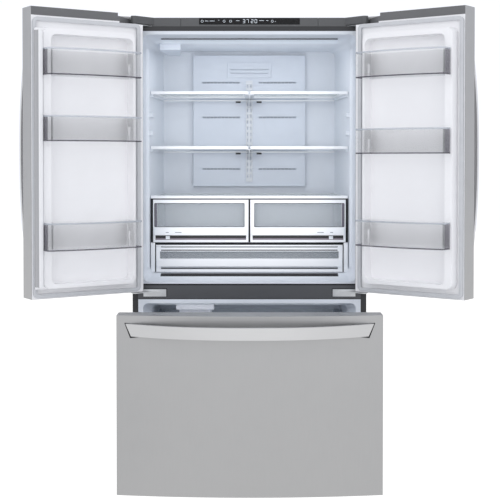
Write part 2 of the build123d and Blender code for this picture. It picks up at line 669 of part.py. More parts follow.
deck_y = FITTING_FRONT + FITTING_T + 4
deck = slab(shelf_plan(deck_y), DECK_FOOT, DECK_TOP)
deck += across(2, deck_y, SHELF_BACK, DECK_TOP, COVER_SHELF_TOP - SHELF_T)
save("crisper_frame", cover_rim + deck)


# ------------------------------------------------------ crispers and pantry
def tub(outline, z0, z1, t=TUB_T):
    face = make_face(Polyline(*[(x, y, 0) for x, y in outline], close=True))
    room_face = offset(face, amount=-t, kind=Kind.INTERSECTION)
    out = Pos(0, 0, z0) * extrude(face, amount=z1 - z0, dir=(0, 0, 1))
    return out - Pos(0, 0, z0 + t) * extrude(room_face, amount=z1 - z0, dir=(0, 0, 1))


FRONT, REAR = FITTING_FRONT, FITTING_FRONT + FITTING_T
TUB_BACK = SHELF_BACK - 4
CRISPER_X = MOUTH_X - 29
CRISPER_FREE = 4.0
CRISPER_TOP = COVER_SHELF_TOP - 16


def crisper_face(side_inset, y0, y1, z0, z1):
    """Box on the left crisper's front, inset from both of its sides."""
    return box(-CRISPER_X + side_inset, -CRISPER_FREE - side_inset, y0, y1, z0, z1)


crisper_plan = [
    (-CRISPER_X + 3, REAR),
    (-CRISPER_FREE - 2, REAR),
    (-CRISPER_FREE - 2, TUB_BACK),
    (-CRISPER_X + 25, TUB_BACK),
]
crisper = tub(crisper_plan, DECK_TOP + 1, CRISPER_TOP - 12)
crisper += box(-CRISPER_X + 19, -CRISPER_X + 27, REAR + 4, TUB_BACK - 20, DECK_TOP, DECK_TOP + 1)
crisper += box(-CRISPER_FREE - 20, -CRISPER_FREE - 12, REAR + 4, TUB_BACK - 4, DECK_TOP, DECK_TOP + 1)
save("crisper_left", crisper)
save("crisper_right", mirrored(crisper))

RIDGE_Z = DECK_TOP + 32
GROOVE_Z = DECK_TOP + 21
SLIDER_X, SLIDER_W, SLIDER_TRAVEL = CRISPER_X - 58, 16.0, 60.0
crisper_front = crisper_face(0, FRONT, REAR, DECK_TOP + 3, CRISPER_TOP)
crisper_front -= crisper_face(16, FRONT - 1, REAR + 1, RIDGE_Z + 32, CRISPER_TOP - 14)
crisper_front += crisper_face(7, FRONT - 8, FRONT, RIDGE_Z, RIDGE_Z + 29)
crisper_front -= crisper_face(9, FRONT - 1, FRONT + 9, DECK_TOP + 12, RIDGE_Z - 2)
groove_x = (-SLIDER_X - 25, -SLIDER_X + SLIDER_TRAVEL + 25)
crisper_front -= box(*groove_x, FRONT + 9, FRONT + 11.5, GROOVE_Z - 2, GROOVE_Z + 2)
save("crisper_left_front", crisper_front)
save("crisper_right_front", mirrored(crisper_front))

slider = across(SLIDER_W / 2, FRONT + 2, FRONT + 9, GROOVE_Z - 6.5, GROOVE_Z + 6.5)
slider += across(SLIDER_W / 2 - 3, FRONT + 9, FRONT + 11, GROOVE_Z - 1.6, GROOVE_Z + 1.6)
slider = Pos(-SLIDER_X, 0, 0) * slider
save("humidity_slider_left", slider)
save("humidity_slider_right", mirrored(slider))

PANTRY_X = MOUTH_X - 41
PANTRY_FOOT = FRIDGE_FLOOR + 2.0
PANTRY_TOP = PANTRY_FOOT + PANTRY_H
pantry_plan = [
    (-PANTRY_X + 9, REAR),
    (PANTRY_X - 9, REAR),
    (PANTRY_X - 21, TUB_BACK),
    (-PANTRY_X + 21, TUB_BACK),
]
pantry = tub(pantry_plan, PANTRY_FOOT, PANTRY_TOP)
runner_x = (-PANTRY_X + 31, -PANTRY_X + 41)
pantry += both(box(*runner_x, REAR + 4, TUB_BACK - 4, FRIDGE_FLOOR, PANTRY_FOOT))
save("pantry_drawer", pantry)
pantry_front = across(PANTRY_X, FRONT, REAR, PANTRY_FOOT + 0.5, PANTRY_TOP + 16)
pantry_front -= across(PANTRY_X - 15, FRONT - 1, REAR + 1, PANTRY_FOOT + 53, PANTRY_TOP - 10)
pantry_front += across(PANTRY_X - 3, FRONT - 7, FRONT, PANTRY_FOOT + 23, PANTRY_FOOT + 50)
pantry_front -= across(PANTRY_X - 19, FRONT - 1, FRONT + 9, PANTRY_FOOT + 12, PANTRY_FOOT + 21)
pantry_front += across(PANTRY_X, FRONT - 3, FRONT, PANTRY_TOP + 10, PANTRY_TOP + 16)
save("pantry_front", pantry_front)

# ------------------------------------------------------------ door builders
DYKE = (-MOUTH_X + 8, -DYKE_FREE, MOUTH_FOOT + 7, MOUTH_TOP - 8)
POCKET = (DYKE[0] + 12, DYKE[1] - 32, DYKE[2] + 18, DYKE[3] - 25)
DYKE_TOP = -SEAL_GAP + DYKE_RISE
POCKET_FLOOR = DYKE_TOP - POCKET_DEPTH
FLANGE_Y = -SEAL_GAP - FLANGE_T
CORNER_R = 24.0
BIN_X0 = -MOUTH_X + 10
CAP_FOOT = DOOR_TOP - 43
CAP_STEP = CASE_TOP + 4
CAP_TOP_T = 12.0
NOTCH_Z = CASE_TOP - 4
NOTCH_X = PIVOT_X - 83
BOSS_L = 28.0


def profile(inset, back, x0=-DOOR_X, x1=-MEET_X, bulge=DOOR_BULGE):
    left, right, front = x0 + inset, x1 - inset, FRONT_Y + inset
    arc = ThreePointArc((left, front), ((left + right) / 2, front - bulge), (right, front))
    rest = Polyline((right, front), (right, back), (left, back), (left, front))
    return make_face([arc, rest])


def filled(inset, back, z0, z1, **kw):
    return Pos(0, 0, z0) * extrude(profile(inset, back, **kw), amount=z1 - z0, dir=(0, 0, 1))


def bow(half, rise, stand, thick, steps):
    """Bowed bar as two rows of (place along it, y), outer and inner."""
    outer, inner = [], []
    for k in range(-steps, steps + 1):
        u = k / steps
        y = FRONT_Y - stand - rise * (1 - abs(u) ** 2.4)
        outer.append((half * u, y))
        inner.append((half * u, y + thick))
    return outer, inner


def bar_face(outer, inner):
    """Face between the two rows of points of a bowed bar."""
    edges = [
        Spline(*outer),
        Line(outer[-1], inner[-1]),
        Spline(*reversed(inner)),
        Line(inner[0], outer[0]),
    ]
    return make_face(edges)


def bin_levels(drops, rise, heights):
    """Foot and rim of the three bins; the upper two hang from the pocket's top."""
    feet = [POCKET[3] - drop for drop in drops] + [POCKET[2] + rise]
    return [(foot, foot + height) for foot, height in zip(feet, heights)]


def bin_face(inset, free_end):
    """Plan of a door bin: seated between the dykes, then wide across them."""
    x0, x1 = BIN_X0 + inset, -free_end - inset
    low, step = POCKET_FLOOR + 2 + inset, DYKE_TOP + 3 + inset
    high, r = DYKE_TOP + BIN_DEPTH - inset, BIN_CORNER_R
    neck0, neck1 = POCKET[0] + 1.5 + inset, POCKET[1] - 1.5 - inset
    slope = Polyline((x0, high - r), (x0, step), (neck0, step), (neck0, low))
    back = Polyline((neck0, low), (neck1, low), (neck1, step), (x1, step), (x1, high - r))
    crown = ThreePointArc((x0 + r, high), ((x0 + x1) / 2, high + BIN_BOW), (x1 - r, high))
    corner0 = RadiusArc((x0, high - r), (x0 + r, high), r)
    corner1 = RadiusArc((x1 - r, high), (x1, high - r), r)
    return make_face([slope, back, corner1, crown, corner0])


def hinge_side(r, z0, z1):
    return upright(r, -PIVOT_X, PIVOT_Y, z0, z1)


def dyke_solid(grow, y0, y1):
    cx, half = (DYKE[0] + DYKE[1]) / 2, (DYKE[1] - DYKE[0]) / 2
    root = section(half + grow, DYKE[2] - grow, DYKE[3] + grow, y0, CORNER_R, cx)
    crest = section(half - 3 + grow, DYKE[2] + 4 - grow, DYKE[3] - 4 + grow, y1, CORNER_R, cx)
    return loft([root, crest], ruled=True)


def door_parts(bins, bin_end):
    px0, px1, pz0, pz1 = POCKET
    notch_plan = [
        (-DOOR_X, FRONT_Y + 4),
        (-PIVOT_X + 14, FRONT_Y + 4),
        (-PIVOT_X + 14, PIVOT_Y - 16),
        (-NOTCH_X, -SEAL_GAP),
        (-NOTCH_X, -SEAL_GAP + 1),
        (-DOOR_X, -SEAL_GAP + 1),
    ]
    notch = slab(notch_plan, NOTCH_Z, DOOR_TOP + 1)
    skin = filled(0, -SEAL_GAP, DOOR_FOOT, DOOR_TOP)
    skin -= filled(SHEET, -SEAL_GAP + 1, DOOR_FOOT - 1, DOOR_TOP + 1)
    side_cut = (-DOOR_X - 1, -DOOR_X + SHEET + 0.1)
    skin -= box(*side_cut, FRONT_Y + 4, -SEAL_GAP + 1, NOTCH_Z, DOOR_TOP + 1)

    pcx, phalf = (px0 + px1) / 2, (px1 - px0) / 2
    pocket_face = section(phalf, pz0, pz1, POCKET_FLOOR, CORNER_R - SHELL_T, pcx)
    pocket = extrude(pocket_face, amount=POCKET_DEPTH + 10, dir=(0, 1, 0))
    shell_face = section(
        phalf + SHELL_T, pz0 - SHELL_T, pz1 + SHELL_T, POCKET_FLOOR - SHELL_T, CORNER_R, pcx
    )
    pocket_skin = extrude(shell_face, amount=POCKET_DEPTH + SHELL_T, dir=(0, 1, 0))
    sheet_x = (-DOOR_X + SHEET, -MEET_X - SHEET)
    flange = box(*sheet_x, FLANGE_Y, -SEAL_GAP, DOOR_FOOT + 1, CAP_STEP)
    flange -= box(-DOOR_X, -NOTCH_X, FLANGE_Y - 1, -SEAL_GAP + 1, NOTCH_Z, CAP_STEP + 1)
    behind = dyke_solid(-SHELL_T, FLANGE_Y - 1, DYKE_TOP - SHELL_T) - pocket_skin
    liner = flange + dyke_solid(0, -SEAL_GAP, DYKE_TOP) + pocket_skin
    liner = liner - pocket - behind
    for z0, _ in bins:
        for lx0 in (px0 - 1, px1 - 4):
            liner += box(lx0, lx0 + 5, -6, 6, z0 + 24, z0 + 56)

    caps = filled(SHEET, FLANGE_Y, CAP_FOOT, CAP_STEP)
    caps += filled(SHEET, -SEAL_GAP, CAP_STEP, DOOR_TOP - CAP_TOP_T)
    open_top = box(
        -DOOR_X - 6, -NOTCH_X + 6, FRONT_Y - 52, 0, DOOR_TOP - CAP_TOP_T - 1, DOOR_TOP + 1
    )
    caps += filled(SHEET, -SEAL_GAP, DOOR_TOP - CAP_TOP_T, DOOR_TOP) - open_top
    caps -= notch
    well_room = (-NOTCH_X + 10, -MEET_X - 6, FRONT_Y + 6, -SEAL_GAP - 6)
    caps -= box(*well_room, CAP_FOOT - 1, DOOR_TOP - 4)
    caps += hinge_side(BOSS_R, CAP_FOOT - BOSS_L, CAP_FOOT)
    caps -= hinge_side(PIN_R + RUN_FIT, CAP_FOOT - BOSS_L + 3, CAP_FOOT + 5)
    low_top = DOOR_FOOT + 4
    low = filled(SHEET, FLANGE_Y, DOOR_FOOT, low_top)
    low += hinge_side(BOSS_R, low_top, low_top + BOSS_L - 1)
    low -= hinge_side(PIN_R + RUN_FIT, DOOR_FOOT - 1, low_top + BOSS_L - 4)
    low -= box(-DOOR_X + SHEET - 0.1, sheet_x[1], FLANGE_Y, FLANGE_Y + 0.1, DOOR_FOOT - 1, low_top + 1)

    grip_z = DOOR_TOP - GRIP_BELOW
    outer, inner = bow(GRIP_HALF, GRIP_RISE, GRIP_STAND, GRIP_T, 8)
    face = bar_face([(0, y, grip_z + z) for z, y in outer], [(0, y, grip_z + z) for z, y in inner])
    handle = Pos(-GRIP_X - GRIP_W / 2, 0, 0) * extrude(face, amount=GRIP_W, dir=(1, 0, 0))

    def studs(r, y1):
        levels = (grip_z - GRIP_HALF + 16, grip_z + GRIP_HALF - 16)
        return total(rod(r, (-GRIP_X, FRONT_Y + 16, z), (-GRIP_X, y1, z)) for z in levels)

    stud_holes = studs(STUD_R + STUD_FIT, FRONT_Y - 24)
    handle -= filled(-HANDLE_FIT, -SEAL_GAP, DOOR_FOOT - 21, DOOR_TOP + 28)
    handle += studs(STUD_R, FRONT_Y - 18)
    skin -= stud_holes

    core = filled(SHEET, FLANGE_Y, low_top, CAP_FOOT)
    core += dyke_solid(-SHELL_T, FLANGE_Y, DYKE_TOP - SHELL_T)
    core += box(*well_room, CAP_FOOT, DOOR_TOP - 4)
    core -= pocket_skin
    core -= box(px0, px1, POCKET_FLOOR - SHELL_T, POCKET_DEPTH + 10, pz0, pz1)
    core -= liner
    core -= stud_holes
    core -= hinge_side(BOSS_R, CAP_FOOT - BOSS_L, CAP_FOOT + 1)
    core -= hinge_side(BOSS_R, low_top - 1, low_top + BOSS_L - 1)

    seal_y = (-SEAL_GAP, -SEAL_GAP + SEAL_BASE)
    seal = box(-DOOR_X + 16, -MEET_X - 3, *seal_y, DOOR_FOOT + 5, CASE_TOP - 3)
    lip = box(-DOOR_X + 19, -MEET_X - 5, seal_y[1], -0.2, DOOR_FOOT + 7, CASE_TOP - 5)
    lip -= box(-MOUTH_X - 5, -20, seal_y[1] - 1, 0, MOUTH_FOOT - 4, MOUTH_TOP + 6)
    seal += lip
    seal -= box(-MOUTH_X - 2, -22, -SEAL_GAP - 1, 0, MOUTH_FOOT - 2, MOUTH_TOP + 4)

    bin_list = []
    for z0, z1 in bins:
        solid, space = bin_face(0, bin_end), bin_face(BIN_T, bin_end)
        door_bin = Pos(0, 0, z0) * extrude(solid, amount=z1 - z0, dir=(0, 0, 1))
        door_bin -= Pos(0, 0, z0 + BIN_T) * extrude(space, amount=z1 - z0, dir=(0, 0, 1))
        for lx0 in (px0, px1 - 4.4):
            door_bin -= box(lx0, lx0 + 4.4, -6.5, 6.5, z0 - 1, z0 + 56)
        bin_list.append(door_bin)
    return skin, liner, core, seal, caps + low, handle, bin_list


left_bins = bin_levels(LEFT_BIN_DROPS, LEFT_BIN_RISE, LEFT_BIN_HEIGHTS)
skin, liner, core, seal, caps, handle, bin_list = door_parts(left_bins, LEFT_BIN_END)
FLAP_FOOT, FLAP_TOP = DYKE[2] + 13, DYKE[3] - 16
PIN_HOLE = FLAP_PIN_R + RUN_FIT
bracket_x = (-FLAP_AXIS_X - 35, -FLAP_AXIS_X + 7)
brackets = []
for z0 in (FLAP_FOOT - 10, FLAP_TOP + 2):
    ear = box(*bracket_x, FLAP_Y - 6, FLAP_Y + 6, z0, z0 + 8)
    brackets.append(ear - upright(PIN_HOLE, -FLAP_AXIS_X, FLAP_Y, z0 - 1, z0 + 9))
liner += total(brackets)
core -= total(brackets)
save("left_door_skin", swing_left(skin))
save("left_door_liner", swing_left(liner))
save("left_door_foam", swing_left(core))
save("left_door_gasket", swing_left(seal))
save("left_door_caps", swing_left(caps))
save("left_door_handle", swing_left(handle))
for name, shape in zip(("top", "middle", "low"), bin_list):
    save(f"left_bin_{name}", swing_left(shape))

# Flap that closes the gap between the doors; it folds flat against the left
# door as that door opens.
flap_face = Pos(0, FLAP_Y, 0) * RectangleRounded(FLAP_W, FLAP_T, 6)
flap_space = (FLAP_W - 2 * FLAP_WALL, FLAP_T - 2 * FLAP_WALL, 6 - FLAP_WALL)
flap_room = Pos(0, FLAP_Y, 0) * RectangleRounded(*flap_space)
flap = Pos(0, 0, FLAP_FOOT) * extrude(flap_face, amount=FLAP_TOP - FLAP_FOOT, dir=(0, 0, 1))
flap -= Pos(0, 0, FLAP_FOOT + 3) * extrude(
    flap_room, amount=FLAP_TOP - FLAP_FOOT - 6, dir=(0, 0, 1)
)
flap += upright(FLAP_PIN_R, -FLAP_AXIS_X, FLAP_Y, FLAP_FOOT - 9.5, FLAP_FOOT)
flap += upright(FLAP_PIN_R, -FLAP_AXIS_X, FLAP_Y, FLAP_TOP, FLAP_TOP + 9.5)
flap_axis = Pos(-FLAP_AXIS_X, FLAP_Y, 0)
folded = flap_axis * Rot(0, 0, 90) * Pos(FLAP_AXIS_X, -FLAP_Y, 0) * flap
save("door_flap", swing_left(folded))

right_bins = bin_levels(RIGHT_BIN_DROPS, RIGHT_BIN_RISE, RIGHT_BIN_HEIGHTS)
skin, liner, core, seal, caps, handle, bin_list = door_parts(right_bins, RIGHT_BIN_END)
save("right_door_skin", swing_right(mirrored(skin)))
save("right_door_liner", swing_right(mirrored(liner)))
save("right_door_foam", swing_right(mirrored(core)))
save("right_door_gasket", swing_right(mirrored(seal)))
save("right_door_caps", swing_right(mirrored(caps)))
save("right_door_handle", swing_right(mirrored(handle)))
for name, shape in zip(("top", "middle", "low"), bin_list):
    save(f"right_bin_{name}", swing_right(mirrored(shape)))

# ------------------------------------------------------------ freezer drawer
WIDE = {"x0": -DOOR_X, "x1": DOOR_X, "bulge": DRAWER_BULGE}
PULL_X = DOOR_X - PULL_INSET
PULL_FOOT = DRAWER_TOP - PULL_BELOW
PULL_TOP = PULL_FOOT + PULL_H
D_DYKE = (MOUTH_X - 10, STORE_MOUTH_FOOT + 18, STORE_MOUTH_TOP - 10)
D_DYKE_TOP = 18.0
D_POCKET = (D_DYKE[0] - 12, D_DYKE[1] + 14, D_DYKE[2] - 14)
pan = filled(0, -SEAL_GAP, DRAWER_FOOT, DRAWER_TOP, **WIDE)
pan -= filled(SHEET, -SEAL_GAP + 1, DRAWER_FOOT + 1, DRAWER_TOP - 1, **WIDE)


def drawer_dyke(grow, y0, y1):
    half, z0, z1 = D_DYKE
    root = section(half + grow, z0 - grow, z1 + grow, y0, STORE_R + SHELL_T)
    crest = section(half - 3 + grow, z0 + 3 - grow, z1 - 3 + grow, y1, STORE_R + SHELL_T)
    return loft([root, crest], ruled=True)


def drawer_pocket(grow, depth):
    """Pocket of the drawer's liner, or that pocket with its wall."""
    half, z0, z1 = D_POCKET
    face = section(half + grow, z0 - grow, z1 + grow, POCKET_FLOOR - grow, STORE_R + grow)
    return extrude(face, amount=depth, dir=(0, 1, 0))


d_pocket = drawer_pocket(0, POCKET_DEPTH + 10)
d_pocket_skin = drawer_pocket(SHELL_T, D_DYKE_TOP - POCKET_FLOOR + SHELL_T)
inner = across(DOOR_X - SHEET, FLANGE_Y, -SEAL_GAP, DRAWER_FOOT + 1, DRAWER_TOP - 1)
inner += drawer_dyke(0, -SEAL_GAP, D_DYKE_TOP) + d_pocket_skin
inner -= d_pocket
inner -= drawer_dyke(-SHELL_T, FLANGE_Y - 1, D_DYKE_TOP - SHELL_T) - d_pocket_skin
save("drawer_liner", slide_out(inner))

drawer_core = filled(SHEET, FLANGE_Y, DRAWER_FOOT + 1, DRAWER_TOP - 1, **WIDE)
drawer_core += drawer_dyke(-SHELL_T, FLANGE_Y, D_DYKE_TOP - SHELL_T)
drawer_core -= d_pocket_skin
drawer_core -= across(D_POCKET[0], POCKET_FLOOR, POCKET_DEPTH + 10, D_POCKET[1], D_POCKET[2])
drawer_core -= inner

seal_z = (DRAWER_FOOT + 9, DRAWER_TOP - 6)
hole_z = (STORE_MOUTH_FOOT, STORE_MOUTH_TOP + 1)
drawer_seal = across(DOOR_X - 16, -SEAL_GAP, -SEAL_GAP + SEAL_BASE, *seal_z)
drawer_lip = across(DOOR_X - 19, -SEAL_GAP + SEAL_BASE, -0.2, seal_z[0] + 2, seal_z[1] - 2)
drawer_lip -= across(MOUTH_X + 5, -SEAL_GAP + SEAL_BASE - 1, 0, hole_z[0] - 3, hole_z[1] + 2)
drawer_seal += drawer_lip
drawer_seal -= across(MOUTH_X + 2, -SEAL_GAP - 1, 0, *hole_z)
save("drawer_gasket", slide_out(drawer_seal))

outer, inside = bow(PULL_X, PULL_RISE, PULL_STAND, GRIP_T, 10)
grip_face = bar_face([(x, y, 0) for x, y in outer], [(x, y, 0) for x, y in inside])
grip = Pos(0, 0, PULL_FOOT) * extrude(grip_face, amount=PULL_H, dir=(0, 0, 1))
end_cut = [
    (-PULL_X - 9, PULL_FOOT - 6),
    (-PULL_X + 22, PULL_FOOT - 6),
    (-PULL_X - 3, PULL_TOP + 5),
    (-PULL_X - 9, PULL_TOP + 5),
]
grip -= both(front_slab(end_cut, FRONT_Y - PULL_RISE - 70, FRONT_Y + 28))
grip -= filled(-HANDLE_FIT, -SEAL_GAP, PULL_FOOT - 26, DRAWER_TOP - 4, **WIDE)


def pegs(r, y1):
    """Pegs that hold the drawer's handle."""
    peg_x, z = PULL_X - 33, PULL_FOOT + 22
    return both(rod(r, (-peg_x, FRONT_Y + 14, z), (-peg_x, y1, z)))


peg_holes = pegs(STUD_R + STUD_FIT, FRONT_Y - 30)
grip += pegs(STUD_R, FRONT_Y - 22)
save("drawer_skin", slide_out(pan - peg_holes))
save("drawer_foam", slide_out(drawer_core - peg_holes))
save("drawer_handle", slide_out(grip))

# Three-member slides: channel on the wall, middle channel, bar on the drawer.
LIP_W = 9.0
low_z, high_z = SLIDE_Z - CHANNEL_H / 2, SLIDE_Z + CHANNEL_H / 2
channel_y = (STORE_LIP_Y + 22, STORE_BACK - 30)
lip_x = (-STORE_X + SLIDE_T, -STORE_X + SLIDE_T + LIP_W)
channel = box(-STORE_X, lip_x[0], *channel_y, low_z, high_z)
channel += box(*lip_x, *channel_y, low_z, low_z + SLIDE_T)
channel += box(*lip_x, *channel_y, high_z - SLIDE_T, high_z)
save("slide_channels", both(channel))
MIDDLE_X = STORE_X - 6.5
low_z, high_z = SLIDE_Z - MIDDLE_H / 2, SLIDE_Z + MIDDLE_H / 2
middle_y = (60, STORE_BACK - 50)
middle = box(-MIDDLE_X, -MIDDLE_X + SLIDE_T, *middle_y, low_z, high_z)
middle += box(-MIDDLE_X - 4, -MIDDLE_X, *middle_y, low_z, low_z + SLIDE_T)
middle += box(-MIDDLE_X - 4, -MIDDLE_X, *middle_y, high_z - SLIDE_T, high_z)
save("slide_middles", slide_out(both(middle), DRAWER_OUT / 2))
bar_x = (-MIDDLE_X + SLIDE_T + 0.5, -MIDDLE_X + SLIDE_T + 7.5)
bar = box(*bar_x, POCKET_FLOOR, STORE_BACK - 60, SLIDE_Z - BAR_H / 2 - 1, SLIDE_Z + BAR_H / 2 - 1)
save("slide_bars", slide_out(both(bar)))


def rectangle(half, y0, y1):
    return [(-half, y0), (half, y0), (half, y1), (-half, y1)]


BASKET_X = STORE_X - 24
BASKET_FOOT = STORE_FLOOR + BASKET_RISE
basket_y = (BASKET_FRONT, MACHINE_Y - 50)
basket = tub(rectangle(BASKET_X, *basket_y), BASKET_FOOT, BASKET_TOP, BASKET_T)
basket += both(
    box(-BASKET_X - 14, -BASKET_X + 1, *basket_y, BASKET_TOP - BASKET_T, BASKET_TOP)
)
for slot_x in row(100, int(2 * BASKET_X // 100)):
    for slot_z in (BASKET_FOOT + 90, BASKET_FOOT + 110):
        for slot_y in (basket_y[0] - 1, basket_y[1] - 4):
            slot = across(30, slot_y, slot_y + 5, slot_z, slot_z + 6)
            basket -= Pos(slot_x, 0, 0) * slot
save("freezer_basket", slide_out(basket))

TRAY_X = STORE_X - 26
tray_y = (60, STORE_BACK - 60)
tray = tub(rectangle(TRAY_X, *tray_y), TRAY_FOOT, TRAY_TOP, BASKET_T)
tray += both(box(-TRAY_X - TRAY_FLANGE, -TRAY_X + 1, *tray_y, TRAY_EDGE, TRAY_TOP))
save("freezer_tray", tray)

MAKER_X = -STORE_X + 172
maker = Pos(MAKER_X, 0, 0) * across(75, 112, 330, STORE_TOP - 22, STORE_TOP)
maker += Pos(MAKER_X, 0, 0) * across(64, 150, 320, STORE_TOP - 50, STORE_TOP - 22)
lamp_x, lamp_z = MAKER_X - 54, STORE_TOP - 11
maker += rod(5, (lamp_x, 109, lamp_z), (lamp_x, 112, lamp_z))
save("ice_maker", maker)
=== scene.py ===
"""A french door refrigerator: finishes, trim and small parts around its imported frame."""

from __future__ import annotations

import json
import logging
import math
from collections.abc import Callable, Iterable, Sequence
from dataclasses import dataclass
from enum import Enum

import bmesh
import bpy
from mathutils import Matrix, Vector

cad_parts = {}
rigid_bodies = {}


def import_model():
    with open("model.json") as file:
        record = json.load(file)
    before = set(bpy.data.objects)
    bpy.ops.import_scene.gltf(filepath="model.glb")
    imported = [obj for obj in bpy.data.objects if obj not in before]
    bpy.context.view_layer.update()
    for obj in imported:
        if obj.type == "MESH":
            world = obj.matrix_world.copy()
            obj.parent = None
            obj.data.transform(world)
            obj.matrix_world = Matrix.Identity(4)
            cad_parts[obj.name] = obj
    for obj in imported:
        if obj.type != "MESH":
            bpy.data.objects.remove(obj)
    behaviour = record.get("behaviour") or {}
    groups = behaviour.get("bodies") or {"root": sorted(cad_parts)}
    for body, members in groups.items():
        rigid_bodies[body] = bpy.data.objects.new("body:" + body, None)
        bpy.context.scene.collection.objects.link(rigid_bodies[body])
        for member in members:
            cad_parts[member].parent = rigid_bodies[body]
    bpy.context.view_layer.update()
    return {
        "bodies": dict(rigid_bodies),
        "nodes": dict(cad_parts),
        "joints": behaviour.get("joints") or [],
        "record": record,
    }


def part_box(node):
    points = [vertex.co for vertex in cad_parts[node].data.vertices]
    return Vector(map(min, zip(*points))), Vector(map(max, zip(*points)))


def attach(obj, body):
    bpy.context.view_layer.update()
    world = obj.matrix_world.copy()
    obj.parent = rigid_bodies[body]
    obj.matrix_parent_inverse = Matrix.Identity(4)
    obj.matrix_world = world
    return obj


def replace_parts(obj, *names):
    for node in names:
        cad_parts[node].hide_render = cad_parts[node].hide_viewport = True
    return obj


log = logging.getLogger("refrigerator")

Colour = tuple[float, float, float]
Point = tuple[float, float, float]
Flat = tuple[float, float]
UNIT: Point = (1.0, 1.0, 1.0)
FORWARD = Vector((0.0, -1.0, 0.0))
BACKWARD = Vector((0.0, 1.0, 0.0))
MIRROR = Matrix.Diagonal((-1.0, 1.0, 1.0, 1.0))


class Side(Enum):
    """The two upper doors, by the sign of X on their side."""

    LEFT = -1
    RIGHT = 1

    @property
    def word(self) -> str:
        """Returns the side's name as the nodes use it."""
        return self.name.lower()

    def span(self, near: float, far: float) -> Flat:
        """Returns two distances from the middle as places along X on this side, the lower first."""
        low, high = sorted((self.value * near, self.value * far))
        return low, high


class Grain(Enum):
    """Direction of a brushed grain, as the stretch of its noise along X, Y and Z."""

    UPRIGHT = (1.0, 1.0, 0.012)
    LEVEL = (0.012, 0.012, 1.0)
    FORE_AND_AFT = (1.0, 0.012, 1.0)


class Axis(Enum):
    """An axis that a flat outline is drawn across."""

    X = 0
    Y = 1
    Z = 2

    def lift(self, point: Flat, height: float) -> Vector:
        """Returns the place in space of a point of the outline.

        Args:
            point: The point, in the order of the other two axes.
            height: Its place along this axis.

        Returns:
            The place.
        """
        values = list(point)
        values.insert(self.value, height)
        return Vector(values)


# ------------------------------------------------------------------ shader maths
class Value:
    """A number that varies over a surface. Arithmetic on it adds Math nodes."""

    def __init__(self, graph: Graph, socket: bpy.types.NodeSocket) -> None:
        """Wraps the output socket of a graph's node that carries the number."""
        self.graph = graph
        self.socket = socket

    def _math(self, operation: str, first: object, second: object) -> Value:
        """Adds one Math node on two operands and returns its result."""
        node = self.graph.node("ShaderNodeMath", {"operation": operation}, {0: first, 1: second})
        return Value(self.graph, node.outputs[0])

    def __add__(self, other: object) -> Value:
        """Returns self + other."""
        return self._math("ADD", self, other)

    __radd__ = __add__

    def __sub__(self, other: object) -> Value:
        """Returns self - other."""
        return self._math("SUBTRACT", self, other)

    def __rsub__(self, other: object) -> Value:
        """Returns other - self."""
        return self._math("SUBTRACT", other, self)

    def __mul__(self, other: object) -> Value:
        """Returns self * other."""
        return self._math("MULTIPLY", self, other)

    __rmul__ = __mul__

    def __pow__(self, other: object) -> Value:
        """Returns self to the power other."""
        return self._math("POWER", self, other)

    def above(self, limit: float) -> Value:
        """Returns 1 where the value is over limit, else 0."""
        return self._math("GREATER_THAN", self, limit)

    def between(self, low: float, high: float) -> Value:
        """Returns 1 where the value is over low and not over high, else 0."""
        return self.above(low) * (1.0 - self.above(high))


